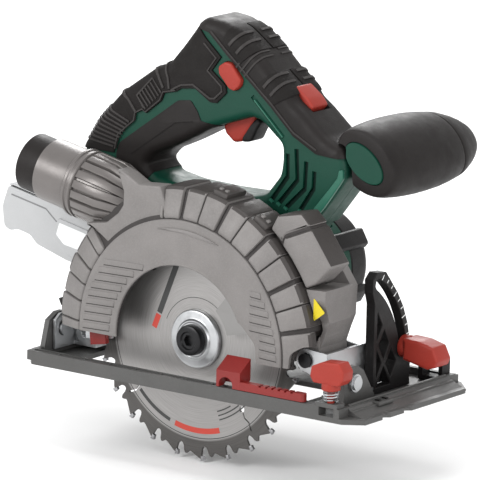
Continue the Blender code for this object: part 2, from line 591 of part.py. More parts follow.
rear = join(plate("X", [(-9, -21), (34, -21), (34, -14), (12, -9), (6, -2), (2, 0.5), (-4, 0.5), (-9, -3)],
                  (-102.8, -100.9)),
            box((-102.8, -84.5), (10.0, 34.0), (-21.2, -19.0)),
            plate("Y", arc(7.0, 90.0, 270.0, (-93.0, -13.0), 15.0) + [(-84.5, -20.9), (-84.5, -8.0)],
                  (10.0, 12.0)))
rear = cut(rear, rod("X", (BEVEL_Y, BEVEL_Z), 4.7, (-104.0, -99.0), 24),
           rod("Y", (-93.0, -13.0), 3.2, (8.0, 14.0), 24))
part("rear_bracket", rear, "steel")

arm_outline = (arc(DEPTH_ARM_R + 6.5, 184.0, 151.0, pivot, 3.0)
               + arc(DEPTH_ARM_R - 6.5, 151.0, 184.0, pivot, 3.0) + [(-82.0, -18.6), (-96.0, -18.6)])
arm = plate("Y", arm_outline, (25.2, 27.2),
            [arc_slot(DEPTH_ARM_R, 3.3, DEPTH_START - DEPTH_RANGE - 1.0, DEPTH_START + 1.0, pivot)])
part("depth_arm", arm, "steel")

stud = polar(DEPTH_ARM_R, DEPTH_START, pivot)
lever = join(rod("Y", stud, 2.9, (18.3, 33.0), 16), rod("Y", stud, 5.6, (27.6, 32.5), 20),
             plate("Y", [(stud[0] - 2, stud[1] - 2.5), (stud[0] - 2, stud[1] + 4.5),
                         (stud[0] - 30, stud[1] + 5.0), (stud[0] - 36, stud[1] + 2.5),
                         (stud[0] - 34, stud[1] - 1.5)], (28.2, 35.0)))
part("depth_lock_lever", lever, "red", (stud[0], 0, stud[1]))

knob = join(rod("X", (knob_y, knob_z), 2.8, (95.0, 112.0), 20),
            rod("X", (knob_y, knob_z), 7.0, (106.2, 112.0), 28),
            rod("X", (knob_y, knob_z), 4.6, (93.5, 96.4), 6),
            plate("Y", [(110.5, -6.0), (110.5, 7.4), (122.0, 7.0), (132.0, 4.6), (136.0, -3.0),
                        (134.0, -7.4), (128.0, -9.4)], (knob_y - 7.5, knob_y + 7.5)))
part("bevel_lock_knob", knob, "red", (0, knob_y, knob_z))

# --- handle --------------------------------------------------------------------------------------
def pack_top(x):
    return PACK_TOP_REAR[1] - math.tan(PORT_TILT) * (x - PACK_TOP_REAR[0])


rear_edge = [(-108.6, 90), (-107.4, 97.5), (-96.8, 114), (-80.2, 131.4), (-57.6, 147.4), (-44.2, 153.4),
             (-34.4, 164.8), (-26.4, 175.2), (-22.6, 180.6)]
cover_edge = [(-16.5, 179.4), (-2.8, 167.2), (30.2, 140.0), (46.6, 124.8), (63.6, 116.1), (78.7, 115.2)]
pillar = [(83.6, 113.0), (83.5, 103.0), (80.9, 99.1), (58.5, 69.9)]
shell_outline = (rear_edge + cover_edge + pillar + arc(36.4, 40.0, 160.0, MOTOR, 8.0)
                 + [(-17, 44), (-23.5, 25), (-52, 19), (-55.3, pack_top(-55.3) + 5.0),
                    (-108.4, pack_top(-108.4) + 5.0)])
finger_loop = [(-64, 92.7), (-58, 99.7), (-41, 107.5), (-24, 116.5), (-17, 120.5), (14, 131.5),
               (21.7, 129.5), (36.6, 117.6), (36.9, 108.6), (35.6, 99.4), (24, 82), (12, 77.5),
               (-12, 77), (-40, 79), (-58, 84)]
grip_cavity = [(-60, 108), (-76, 126), (-56, 143), (-42, 149), (-26, 170), (-20, 171), (26, 134), (14, 135),
               (-20, 124.5), (-40, 112)]
base_cavity = [(-99, 69), (-103, 90), (-96, 106), (-72, 98), (-68, 86), (-56, 79), (-24, 70), (-23, 50),
               (-28, 29), (-49, 24), (-50.5, 57)]
trigger_room = [(-18.5, 128.0), (-16.0, 113.0), (0.0, 108.0), (13.0, 122.0), (16.0, 134.0), (10, 140), (-14, 140)]
lock_centre = (-0.6, 154.6)


def stadium(half_length, half_width, centre, angle):
    turn = Matrix.Rotation(math.radians(angle), 2)
    ends = arc(half_width, -90.0, 90.0, (half_length - half_width, 0), 30.0)
    ends += arc(half_width, 90.0, 270.0, (half_width - half_length, 0), 30.0)
    return [tuple(turn @ Vector(p) + Vector(centre)) for p in ends]


def handle_shell(name, near, far, inner):
    shell = plate("Y", shell_outline, (near, far), [finger_loop])
    shell = cut(shell, plate("Y", grip_cavity, inner), plate("Y", base_cavity, inner),
                plate("Y", trigger_room, (37.0, 53.0)),
                plate("Y", stadium(11.6, 5.1, lock_centre, -43.0), (20.0, 70.0)))
    part(name, shell, "green")


handle_shell("handle_shell_near", HANDLE_NEAR, HANDLE_MID - 0.15, (31.0, 50.0))
handle_shell("handle_shell_far", HANDLE_MID + 0.15, HANDLE_FAR, (40.0, 59.0))

lift = 0.35
cover = [(-25.6, 181.5), (-24.4, 185.0), (-20.3, 186.2), (-8.4, 184.7), (2.8, 180.0), (17.8, 169.2),
         (29.1, 158.5), (41.0, 149.2), (44.1, 144.2), (52.2, 138.6), (67.8, 125.6), (76.0, 121.5),
         (79.5, 121.0), (79.5, 115.6)]
cover += [(x + lift, z + lift + 0.1) for x, z in cover_edge[::-1]]
light_seat = [(30.6, 147.5), (47.0, 135.2), (52.8, 142.8), (38.0, 156.0)]
top = cut(plate("Y", cover, (26.5, 63.5)), plate("Y", light_seat, (36.2, 53.8)))
part("handle_top_cover", top, "rubber")
button = plate("Y", [(32.2, 148.3), (46.9, 137.3), (50.6, 142.2), (45.8, 146.6), (37.6, 152.8)], (36.8, 53.2))
part("light_button", button, "red")

rear_rubber = [(-111.4, 90), (-110.4, 98), (-99.2, 116), (-82, 134.2), (-59, 150.4), (-46.2, 156.4),
               (-36.8, 167.3), (-28.8, 177.4), (-26.3, 180.6), (-19.5, 176.5), (-9, 165.3), (-15.4, 156.6),
               (-12.0, 149.0), (-13.5, 142), (-43.2, 141.4), (-50.6, 137.0), (-64.6, 124), (-72.2, 121),
               (-84, 107.3), (-87, 92)]
rubber = cut(plate("Y", rear_rubber, (26.4, 63.6)),
             plate("Y", rear_edge[:1] + [(x - 0.25, z + 0.25) for x, z in rear_edge[1:]]
                   + [(-22.0, 184.0), (10, 150), (0, 130), (-60, 80), (-108.6, 80)], (27.7, 62.3)))
part("rear_grip_rubber", rubber, "rubber")

trigger = [(-14.6, 127.0), (-12.4, 116.0), (-3.6, 111.6), (2.0, 112.6), (5.6, 119.0), (10.4, 127.0),
           (10.6, 132.0), (4.0, 133.0), (-8.0, 130.5)]
part("trigger", plate("Y", trigger, (37.8, 52.2)), "red")
part("switch_module", box((-32.0, -14.0), (35.0, 55.0), (137.0, 147.0)), "black")
part("lock_off_button", plate("Y", stadium(11.1, 4.6, lock_centre, -43.0), (25.0, 65.0)), "red")
part("control_board", box((-47.5, -31.0), (40.0, 42.0), (33.0, 66.0)), "board")
spindle_lock = join(rod("X", (23.0, 0.0), 3.0, (-27.5, -19.9), 20), rod("X", (23.0, 0.0), 5.0, (-31.5, -27.0), 24))
part("spindle_lock_button", spindle_lock, "black")

# --- auxiliary handle ------------------------------------------------------------------------------
def oval(profile, wide, tall, sides=26):
    """Closed (share of radius, y) profile turned and squashed to the grip's slanted oval."""
    made = turned([(10.0 * share, y) for share, y in profile], sides, bore=profile[0][0] > 0)
    shape = Matrix.Diagonal((wide / 10.0, 1.0, tall / 10.0, 1.0))
    place = Matrix.Translation((AUX_CENTRE[0] * MM, 0.0, AUX_CENTRE[1] * MM))
    return moved(made, place @ Matrix.Rotation(-AUX_TILT, 4, "Y") @ shape)


core = oval([(0.0, 28.4), (1.0, 28.4), (1.0, 62.0), (0.8, 63.0), (0.8, 112.0), (0.0, 112.0)], 15.6, 8.8)
core = cut(core, plate("Y", [(60, 60), (84.3, 95), (84.0, 125), (60, 125)], (20.0, 70.0)))
part("aux_handle_core", core, "green")
grip = cut(oval([(0.0, 29.6), (0.80, 29.6), (0.93, 33.0), (1.0, 44.0), (1.04, 62.0), (1.02, 84.0), (0.92, 104.0),
                 (0.0, 104.0)], 25.5, 18.4),
           oval([(0.0, 20.0), (1.0, 20.0), (1.0, 62.3), (0.8, 63.3), (0.8, 110.0), (0.0, 110.0)], 16.0, 9.2),
           plate("Y", [(40, 60), (60, 60), (82.2, 97.4), (92.5, 103.0), (88.5, 121.0), (80.2, 124.0), (40, 125)],
                 (20.0, 63.9)))
part("aux_handle_grip", grip, "rubber")
cap = cut(oval([(0.0, 104.3), (0.915, 104.3), (0.82, 114.0), (0.62, 126.0), (0.36, 134.5), (0.0, 137.5)], 25.5, 18.4),
          oval([(0.0, 100.0), (0.8, 100.0), (0.8, 112.6), (0.0, 112.6)], 16.0, 9.2))
part("aux_handle_cap", cap, "rubber")

# --- battery pack ----------------------------------------------------------------------------------
front_x, rear_x = -57.6, -160.0
pack_outline = [(rear_x, pack_top(rear_x)), (-168.5, 65.0), (-173.0, 52.0), (-171.5, 39.5), (-166.5, 37.0),
                (-161.0, 38.8), (-150.8, 36.6), (-146.0, 31.6), (-122.5, 24.6), (-62.0, 14.6), (front_x, 17.0),
                (front_x, pack_top(front_x))]
well_outline = [(-157.5, 80), (-164.0, 62.0), (-163.5, 44.0), (-144.0, 38.5), (-62.0, 22.6), (-60.2, 24.0),
                (-60.2, 80)]
pack = cut(plate("Y", pack_outline, (PACK_NEAR, PACK_FAR)), plate("Y", well_outline, (PACK_NEAR + 2, PACK_FAR - 2)))
lid_split = [(-180, pack_top(-180) - 3.0), (-50, pack_top(-50) - 3.0), (-50, 90), (-180, 110)]
pack = cut(pack, plate("Y", lid_split, (PACK_NEAR - 1, PACK_FAR + 1)))
pack = cut(pack, box((-176.0, -166.0), (54.0, 72.0), (45.0, 58.0)))
part("battery_case", pack, "pack")
lid = plate("Y", [(-161.5, pack_top(-161.5)), (-168.0, 66.4), (-168.4, pack_top(-168.4) - 2.7),
                  (front_x, pack_top(front_x) - 2.7), (front_x, pack_top(front_x))], (PACK_NEAR, PACK_FAR))
for rail in (38.0, 88.0):
    edges = [(x, pack_top(x) + rise) for x, rise in ((-150, -0.5), (-60, -0.5), (-60, 2.4), (-150, 2.4))]
    lid = join(lid, plate("Y", edges, (rail - 3.0, rail + 3.0)))
part("battery_lid", lid, "pack")
for index in range(5):
    cell_x = -147.0 + 18.9 * index
    part("battery_cell_%d" % (index + 1), rod("Y", (cell_x, pack_top(cell_x) - 13.6), 9.2, (31.0, 95.5), 14), "cell")
release = box((-174.6, -168.6), (54.4, 71.6), (45.4, 57.6))
part("battery_release_button", release, "red")
socket_edges = [(x, pack_top(x) + rise) for x, rise in ((-108, 4.6), (-108, 3.0), (-56.5, 3.0), (-56.5, 4.6))]
socket = plate("Y", socket_edges, (30.0, 94.0))
part("battery_socket", socket, "black")

# --- what turns with what ----------------------------------------------------------------------------
def axis_empty(name, place, parent, parent_place):
    """Empty on a joint's axis, for the parts that turn about it."""
    empty = bpy.data.objects.new(name, None)
    empty.location = (Vector(place) - Vector(parent_place)) * MM
    empty.parent = parent
    saw.objects.link(empty)
    return empty


BEVEL_PLACE = (0.0, BEVEL_Y, BEVEL_Z)
DEPTH_PLACE = (DEPTH_X, 0.0, DEPTH_Z)
bevel_axis = axis_empty("bevel_axis", BEVEL_PLACE, frame, (0.0, 0.0, 0.0))
depth_axis = axis_empty("depth_axis", DEPTH_PLACE, bevel_axis, BEVEL_PLACE)
shoe_parts = {"base_plate", "bevel_quadrant", "far_guide_bracket", "bevel_pivot_front", "bevel_pivot_rear",
              "guide_clamp_knob", "guide_clamp_spring", "rail_catch"}
carriage_parts = {"front_bracket", "rear_bracket", "depth_arm", "depth_pivot_pin", "bevel_lock_knob"}
for piece in [item for item in saw.objects if item.type == "MESH"]:
    if piece.name in shoe_parts:
        continue
    held, place = (bevel_axis, BEVEL_PLACE) if piece.name in carriage_parts else (depth_axis, DEPTH_PLACE)
    piece.parent = held
    piece.location -= Vector(place) * MM
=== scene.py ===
"""Looks of the cordless circular saw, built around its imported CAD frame.

Pieces are modelled in millimetres about the blade's centre (X forward along the cut, Y across
towards the motor, Z up) and are set in the frame, in metres, as each is finished.
"""
import json
import math

import bmesh
import bpy
import numpy as np
from mathutils import Matrix, Vector


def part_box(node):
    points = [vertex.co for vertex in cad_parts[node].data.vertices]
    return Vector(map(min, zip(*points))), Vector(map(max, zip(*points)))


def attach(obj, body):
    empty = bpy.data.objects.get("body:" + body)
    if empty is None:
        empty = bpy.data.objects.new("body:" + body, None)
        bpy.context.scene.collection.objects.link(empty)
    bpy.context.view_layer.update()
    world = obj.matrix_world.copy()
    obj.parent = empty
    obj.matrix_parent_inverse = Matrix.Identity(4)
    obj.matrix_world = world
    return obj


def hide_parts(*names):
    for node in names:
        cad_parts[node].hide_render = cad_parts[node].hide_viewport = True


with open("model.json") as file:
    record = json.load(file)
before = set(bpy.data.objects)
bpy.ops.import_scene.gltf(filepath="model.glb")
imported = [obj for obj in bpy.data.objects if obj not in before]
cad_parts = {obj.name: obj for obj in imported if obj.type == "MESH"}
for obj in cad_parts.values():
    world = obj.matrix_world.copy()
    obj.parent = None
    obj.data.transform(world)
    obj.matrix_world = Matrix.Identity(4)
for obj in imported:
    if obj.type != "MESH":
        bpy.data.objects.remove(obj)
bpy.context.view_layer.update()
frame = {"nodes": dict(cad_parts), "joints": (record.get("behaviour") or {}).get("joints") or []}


def joint_place(name):
    """Where a joint turns, in the row frame, metres."""
    return Vector(next(j for j in frame["joints"] if j["name"] == name)["pos_m"])


SPINDLE = joint_place("blade_spin")
SET_DOWN = Matrix.Translation(SPINDLE) @ Matrix.Scale(0.001, 4)


def local(point):
    """A place in the row frame, metres, as millimetres about the blade's centre."""
    return (Vector(point) - SPINDLE) * 1000.0


def axis_spot(joint, plane):
    """A joint's place in a plane such as "xz", in millimetres."""
    place = local(joint_place(joint))
    return tuple(getattr(place, letter) for letter in plane)


def node_box(node):
    low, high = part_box(node)
    return local(low), local(high)


# --- driving sizes, millimetres ----------------------------
BLADE_R = (node_box("blade")[1].z - node_box("blade")[0].z) / 2 + 0.1
BLADE_TEETH = 24
FIRST_TOOTH = 198.1
GUARD_R = 94.0
FACE_R = 75.0
WINDOW_R = 47.0
GUARD_BOTTOM = -3.0
MOTOR = axis_spot("armature_spin", "xz")
PORT_TILT = math.radians(11.5)
PORT_END = Vector((-130.5, 5.0, 89.0))
PORT_PLACE = Matrix.Translation(PORT_END) @ Matrix.Rotation(PORT_TILT, 4, "Y")
HANDLE_NEAR, HANDLE_MID, HANDLE_FAR = 28.0, 45.0, 62.0
AUX_CENTRE = (96.5, 114.5)
AUX_TILT = math.radians(-37.0)
SOLE = node_box("base_plate")[0].z

# --- modelling helpers -------------------------------------
AXES = {"X": Matrix.Rotation(math.pi / 2, 4, "Y"), "Y": Matrix.Rotation(-math.pi / 2, 4, "X"),
        "Z": Matrix.Identity(4)}
LAY = {"Y": Matrix(((1, 0, 0, 0), (0, 0, -1, 0), (0, 1, 0, 0), (0, 0, 0, 1))),
       "X": Matrix(((0, 0, 1, 0), (1, 0, 0, 0), (0, 1, 0, 0), (0, 0, 0, 1))),
       "Z": Matrix.Identity(4)}


def temporary(data):
    made = bpy.data.objects.new("shape", data)
    bpy.context.scene.collection.objects.link(made)
    return made


def applied(source):
    """The object as a plain welded mesh, its modifiers and place applied."""
    bpy.context.view_layer.update()
    graph = bpy.context.evaluated_depsgraph_get()
    mesh = bpy.data.meshes.new_from_object(source.evaluated_get(graph))
    mesh.transform(source.matrix_world)
    bpy.data.objects.remove(source, do_unlink=True)
    tidy = bmesh.new()
    tidy.from_mesh(mesh)
    bmesh.ops.remove_doubles(tidy, verts=tidy.verts, dist=1e-4)
    bmesh.ops.dissolve_degenerate(tidy, edges=tidy.edges, dist=1e-4)
    tidy.to_mesh(mesh)
    tidy.free()
    return temporary(mesh)


def from_bmesh(shape):
    mesh = bpy.data.meshes.new("shape")
    bmesh.ops.recalc_face_normals(shape, faces=shape.faces)
    shape.to_mesh(mesh)
    shape.free()
    return temporary(mesh)


def polar(radius, degrees, centre=(0.0, 0.0)):
    angle = math.radians(degrees)
    return (centre[0] + radius * math.cos(angle), centre[1] + radius * math.sin(angle))


def arc(radius, start, end, centre=(0.0, 0.0), step=4.0):
    count = max(2, int(abs(end - start) / step) + 2)
    return [polar(radius, angle, centre) for angle in np.linspace(start, end, count)]


def circle(radius, centre=(0.0, 0.0), sides=32):
    return [polar(radius, 360.0 * i / sides, centre) for i in range(sides)]


def soften(points, radius, steps=4):
    """The outline with each corner rounded off by up to the radius."""
    smooth = []
    count = len(points)
    for i in range(count):
        here = Vector(points[i])
        before, after = Vector(points[i - 1]), Vector(points[(i + 1) % count])
        back, on = before - here, after - here
        start = here + back.normalized() * min(radius, 0.45 * back.length)
        end = here + on.normalized() * min(radius, 0.45 * on.length)
        for t in np.linspace(0.0, 1.0, steps + 1):
            smooth.append(tuple(start * (1 - t) ** 2 + here * 2 * t * (1 - t) + end * t * t))
    return smooth


def slab(axis, outline, span, rounding=0.0, holes=(), steps=3, grow=0.0):
    """Flat outline with holes, extruded along an axis, its rims rounded over; grow widens the outline."""
    curve = bpy.data.curves.new("outline", "CURVE")
    curve.dimensions = "2D"
    curve.fill_mode = "BOTH"
    curve.extrude = (span[1] - span[0]) / 2 - rounding
    curve.bevel_depth = rounding
    curve.bevel_resolution = steps
    curve.offset = grow - rounding
    for ring in (outline, *holes):
        spline = curve.splines.new("POLY")
        spline.points.add(len(ring) - 1)
        for point, (u, v) in zip(spline.points, ring):
            point.co = (u, v, 0.0, 1.0)
        spline.use_cyclic_u = True
    laid = temporary(curve)
    shift = Vector((0.0, 0.0, 0.0))
    shift["XYZ".index(axis)] = (span[0] + span[1]) / 2
    laid.matrix_world = Matrix.Translation(shift) @ LAY[axis]
    made = applied(laid)
    shape = bmesh.new()
    shape.from_mesh(made.data)
    bmesh.ops.recalc_face_normals(shape, faces=shape.faces)
    shape.to_mesh(made.data)
    shape.free()
    return made


def box(x, y, z):
    shape = bmesh.new()
    bmesh.ops.create_cube(shape, size=1.0)
    for vert in shape.verts:
        for axis, (low, high) in enumerate((x, y, z)):
            vert.co[axis] = (low + high + (high - low) * 2 * vert.co[axis]) / 2
    return from_bmesh(shape)


def rod(axis, centre, radius, span, sides=48, far_radius=None):
    shape = bmesh.new()
    bmesh.ops.create_cone(shape, cap_ends=True, segments=sides, radius1=radius,
                          radius2=radius if far_radius is None else far_radius, depth=span[1] - span[0])
    middle = (span[0] + span[1]) / 2
    place = {"X": (middle, *centre), "Y": (centre[0], middle, centre[1]), "Z": (*centre, middle)}
    bmesh.ops.transform(shape, verts=shape.verts, matrix=Matrix.Translation(place[axis]) @ AXES[axis])
    return from_bmesh(shape)


def swept(profile, start, end, centre=(0.0, 0.0), step=3.0):
    """Closed (radius, y) profile swept about an axis parallel to Y, between two angles."""
    whole = abs(end - start) >= 359.9
    stations = max(3, int(abs(end - start) / step) + 1)
    angles = np.linspace(start, end, stations + (0 if not whole else 1))[:None if not whole else -1]
    shape = bmesh.new()
    rings = []
    for angle in angles:
        ring = []
        for radius, y in profile:
            u, v = polar(radius, angle, centre)
            ring.append(shape.verts.new((u, y, v)))
        rings.append(ring)
    count = len(profile)
    pairs = list(zip(rings, rings[1:])) + ([(rings[-1], rings[0])] if whole else [])
    for one, two in pairs:
        for i in range(count):
            shape.faces.new((one[i], one[(i + 1) % count], two[(i + 1) % count], two[i]))
    if not whole:
        shape.faces.new(rings[0])
        shape.faces.new(rings[-1][::-1])
    bmesh.ops.remove_doubles(shape, verts=shape.verts, dist=1e-4)
    bmesh.ops.dissolve_degenerate(shape, edges=shape.edges, dist=1e-4)
    return from_bmesh(shape)


def turned(profile, centre=(0.0, 0.0), step=5.0):
    return swept(profile, 0.0, 360.0, centre, step)


def combine(target, tool, operation, crossing=False):
    """Boolean of two shapes; crossing allows a tool whose own solids run into each other."""
    change = target.modifiers.new("change", "BOOLEAN")
    change.operation = operation
    change.solver = "EXACT"
    change.use_self = crossing
    change.object = tool
    result = applied(target)
    bpy.data.objects.remove(tool, do_unlink=True)
    return result


def cut(target, *tools):
    for tool in tools:
        target = combine(target, tool, "DIFFERENCE")
    return target


def join(target, *tools):
    for tool in tools:
        target = combine(target, tool, "UNION")
    return target


def group(*shapes):
    """Separate solids gathered in one mesh."""
    whole = bmesh.new()
    for shape in shapes:
        whole.from_mesh(shape.data)
        bpy.data.objects.remove(shape, do_unlink=True)
    mesh = bpy.data.meshes.new("shape")
    whole.to_mesh(mesh)
    whole.free()
    return temporary(mesh)


def copied(shape):
    return temporary(shape.data.copy())


def moved(shape, matrix):
    shape.data.transform(matrix)
    return shape


def stroke(points, width):
    """Outline of a line of the given width through the points."""
    path = [Vector(p) for p in points]
    sides = ([], [])
    for i, here in enumerate(path):
        along = (path[min(i + 1, len(path) - 1)] - path[max(i - 1, 0)]).normalized()
        across = Vector((-along.y, along.x)) * width / 2
        sides[0].append(tuple(here + across))
        sides[1].append(tuple(here - across))
    return sides[0] + sides[1][::-1]


def hull(*circles):
    """Outline round several (x, z, radius) circles."""
    cloud = sorted({(round(x, 4), round(z, 4)) for cx, cz, r in circles for x, z in circle(r, (cx, cz), 64)})

    def chain(points):
        kept = []
        for p in points:
            while len(kept) > 1 and ((kept[-1][0] - kept[-2][0]) * (p[1] - kept[-2][1])
                                     - (kept[-1][1] - kept[-2][1]) * (p[0] - kept[-2][0])) <= 0:
                kept.pop()
            kept.append(p)
        return kept[:-1]
    return chain(cloud) + chain(cloud[::-1])


def edged(shape, width, segments=2, angle=35.0):
    """Rounds the shape's sharp edges."""
    bevel = shape.modifiers.new("edges", "BEVEL")
    bevel.width = width
    bevel.segments = segments
    bevel.limit_method = "ANGLE"
    bevel.angle_limit = math.radians(angle)
    return applied(shape)


def turn_about(axis, degrees, place):
    """Rotation about a line through a place; about Y, +X turns up."""
    spot = Matrix.Translation(Vector(place))
    sign = -1.0 if axis == "Y" else 1.0
    return spot @ Matrix.Rotation(sign * math.radians(degrees), 4, axis) @ spot.inverted()


def piece(name, shape, body, look, replaces=(), smooth=30.0):
    """Names a finished shape, sets it in the frame and gives it its material and its body."""
    shape.data.transform(SET_DOWN)
    shape.name = shape.data.name = name
    shape.data.materials.clear()
    shape.data.materials.append(look)
    shape.data.shade_smooth()
    shape.data.set_sharp_from_angle(angle=math.radians(smooth))
    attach(shape, body)
    if replaces:
        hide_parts(*replaces)
    return shape


def darken(shape, look, chosen):
    """Gives a second material, painted shade, to the faces whose place and direction, in millimetres, are
    chosen.
    """
    shape.data.materials.append(look)
    for face in shape.data.polygons:
        if chosen(local(face.center), face.normal):
            face.material_index = 1


def outward(at, facing):
    """True on the guard's outer rim, the faces that are given painted shade."""
    return (at.x * facing.x + at.z * facing.z) / math.hypot(at.x, at.z) > 0.62 and math.hypot(at.x,
                                                                                              at.z) > 84.0


# --- materials ---------------------------------------------
class Nodes:
    """A material's node tree, with short calls for what the materials share."""

    def __init__(self, name):
        self.material = bpy.data.materials.new(name)
        self.material.use_nodes = True
        self.tree = self.material.node_tree
        self.shader = self.tree.nodes["Principled BSDF"]
        self.place = self.add("ShaderNodeTexCoord").outputs["Object"]

    def add(self, kind, **values):
        node = self.tree.nodes.new(kind)
        for key, value in values.items():
            if hasattr(node, key):
                setattr(node, key, value)
            else:
                node.inputs[key.replace("_", " ")].default_value = value
        return node

    def link(self, source, target):
        self.tree.links.new(source, target)

    def scaled(self, scale):
        node = self.add("ShaderNodeMapping")
        node.inputs["Scale"].default_value = scale
        self.link(self.place, node.inputs["Vector"])
        return node.outputs["Vector"]

    def noise(self, scale, detail=3.0, vector=None, roughness=0.55):
        node = self.add("ShaderNodeTexNoise", Scale=scale, Detail=detail, Roughness=roughness)
        self.link(vector or self.place, node.inputs["Vector"])
        return node.outputs["Fac"]

    def spread(self, value, low, high, start=0.3, end=0.7):
        node = self.add("ShaderNodeMapRange")
        node.inputs["From Min"].default_value = start
        node.inputs["From Max"].default_value = end
        node.inputs["To Min"].default_value = low
        node.inputs["To Max"].default_value = high
        self.link(value, node.inputs["Value"])
        return node.outputs["Result"]

    def blend(self, value, one, two):
        node = self.add("ShaderNodeMix", data_type="RGBA")
        for index, colour in ((6, one), (7, two)):
            if isinstance(colour, tuple):
                node.inputs[index].default_value = (*colour, 1.0)
            else:
                self.link(colour, node.inputs[index])
        self.link(value, node.inputs[0])
        return node.outputs[2]

    def bump(self, height, strength, distance=0.0004, onto=None):
        node = self.add("ShaderNodeBump", Strength=strength, Distance=distance)
        self.link(height, node.inputs["Height"])
        if onto is not None:
            self.link(onto, node.inputs["Normal"])
        return node.outputs["Normal"]

    def maths(self, operation, first, second=None):
        node = self.add("ShaderNodeMath", operation=operation)
        for index, value in enumerate((first, second)):
            if value is None:
                continue
            if isinstance(value, (int, float)):
                node.inputs[index].default_value = value
            else:
                self.link(value, node.inputs[index])
        return node.outputs[0]


def shade(colour, factor):
    return tuple(min(1.0, c * factor) for c in colour)


def moulded(name, colour, roughness, grain=1500.0, relief=0.35, variation=0.14, metallic=0.0, specular=0.5):
    """Moulded plastic, rubber or cast paint: fine grain, faint blotches, rubbed patches."""
    n = Nodes(name)
    blotch = n.noise(45.0, 4.0)
    speck = n.noise(grain * 0.6, 2.0)
    tone = n.blend(n.spread(blotch, 0.0, 1.0), shade(colour, 1.0 - variation), shade(colour, 1.0 + variation))
    fleck = n.blend(n.spread(speck, 0.0, 0.35, 0.45, 0.75), tone, shade(colour, 1.0 + 3.0 * variation))
    n.link(fleck, n.shader.inputs["Base Color"])
    rubbed = n.noise(130.0, 3.0)
    n.link(n.spread(rubbed, roughness * 0.86, min(1.0, roughness * 1.14)), n.shader.inputs["Roughness"])
    n.shader.inputs["Metallic"].default_value = metallic
    n.shader.inputs["Specular IOR Level"].default_value = specular
    n.link(n.bump(n.noise(grain, 2.0), relief), n.shader.inputs["Normal"])
    return n.material


def metal(name, colour, roughness, stretch=(60.0, 900.0, 900.0), relief=0.12, variation=0.12):
    """Bare or plated metal with fine machining lines and slight staining."""
    n = Nodes(name)
    lines = n.noise(1.0, 4.0, n.scaled(stretch))
    stain = n.noise(35.0, 4.0)
    tone = n.blend(n.spread(lines, 0.0, 1.0), shade(colour, 1.0 - variation), shade(colour, 1.0 + variation))
    tone = n.blend(n.spread(stain, 0.0, 0.30, 0.5, 0.8), tone, shade(colour, 0.72))
    n.link(tone, n.shader.inputs["Base Color"])
    n.link(n.spread(lines, roughness * 0.8, roughness * 1.25), n.shader.inputs["Roughness"])
    n.shader.inputs["Metallic"].default_value = 1.0
    n.link(n.bump(lines, relief, 0.0002), n.shader.inputs["Normal"])
    return n.material


RIM_COATING = (0.0615, 0.0628)


def blade_metal():
    """Blade steel: ring-shaped grinding marks, a bright middle and a darker coated rim."""
    n = Nodes("blade_satin")
    offset = n.add("ShaderNodeVectorMath", operation="SUBTRACT")
    offset.inputs[1].default_value = SPINDLE
    n.link(n.place, offset.inputs[0])
    split = n.add("ShaderNodeSeparateXYZ")
    n.link(offset.outputs[0], split.inputs[0])
    x, z = split.outputs["X"], split.outputs["Z"]
    radius = n.maths("SQRT", n.maths("ADD", n.maths("MULTIPLY", x, x), n.maths("MULTIPLY", z, z)))
    angle = n.maths("ARCTAN2", z, x)
    around = n.add("ShaderNodeCombineXYZ")
    n.link(n.maths("MULTIPLY", radius, 2600.0), around.inputs["X"])
    n.link(n.maths("MULTIPLY", angle, 2.2), around.inputs["Y"])
    rings = n.noise(1.0, 3.0, around.outputs[0])
    rim = n.spread(radius, 0.0, 1.0, *RIM_COATING)
    middle = n.blend(n.spread(rings, 0.0, 1.0), (0.27, 0.262, 0.256), (0.35, 0.340, 0.334))
    edge = n.blend(n.spread(rings, 0.0, 1.0), (0.085, 0.081, 0.078), (0.115, 0.110, 0.106))
    n.link(n.blend(rim, middle, edge), n.shader.inputs["Base Color"])
    n.link(n.spread(rings, 0.36, 0.44), n.shader.inputs["Roughness"])
    n.shader.inputs["Metallic"].default_value = 0.85
    n.link(n.bump(rings, 0.03, 0.0002), n.shader.inputs["Normal"])
    return n.material


CAST = moulded("cast_grey", (0.170, 0.160, 0.155), 0.55, 1300.0, 0.5, 0.09, 0.10, 0.4)
# Darker copy of the cast grey, used as painted shade on hidden, inner and recessed faces of the guard and
# housing.
CAST_SHADE = moulded("cast_painted_shade", (0.036, 0.032, 0.031), 0.55, 1300.0, 0.4, 0.12, 0.10, 0.3)
# Darker cast grey used as painted shade on outward rim faces and upward faces of the same painted casting.
CAST_RIM_SHADE = moulded("cast_rim_painted_shade", (0.044, 0.039, 0.037), 0.50, 1300.0, 0.35, 0.08, 0.10, 0.35)
PORT = moulded("port_grey", (0.135, 0.124, 0.119), 0.36, 1600.0, 0.16, 0.05, 0.35)
SHOE = moulded("shoe_grey", (0.072, 0.071, 0.069), 0.46, 1500.0, 0.3, 0.08, 0.10, 0.4)
GREEN = moulded("green_plastic", (0.003, 0.044, 0.027), 0.46, 1700.0, 0.18, 0.06, 0.0, 0.25)
# Darker copy of the handle green, used as painted shade on the groove floors.
GREEN_SHADE = moulded("green_painted_shade", (0.001, 0.012, 0.008), 0.55, 1700.0, 0.18, 0.06, 0.0, 0.15)
# Lighter copy of the handle green, used as painted highlight on raised lines and edges.
GREEN_HIGHLIGHT = moulded("green_painted_highlight", (0.020, 0.115, 0.076), 0.42, 1700.0, 0.18, 0.06, 0.0, 0.4)
RUBBER = moulded("soft_rubber", (0.012, 0.0105, 0.010), 0.66, 1300.0, 0.5, 0.14, 0.0, 0.14)
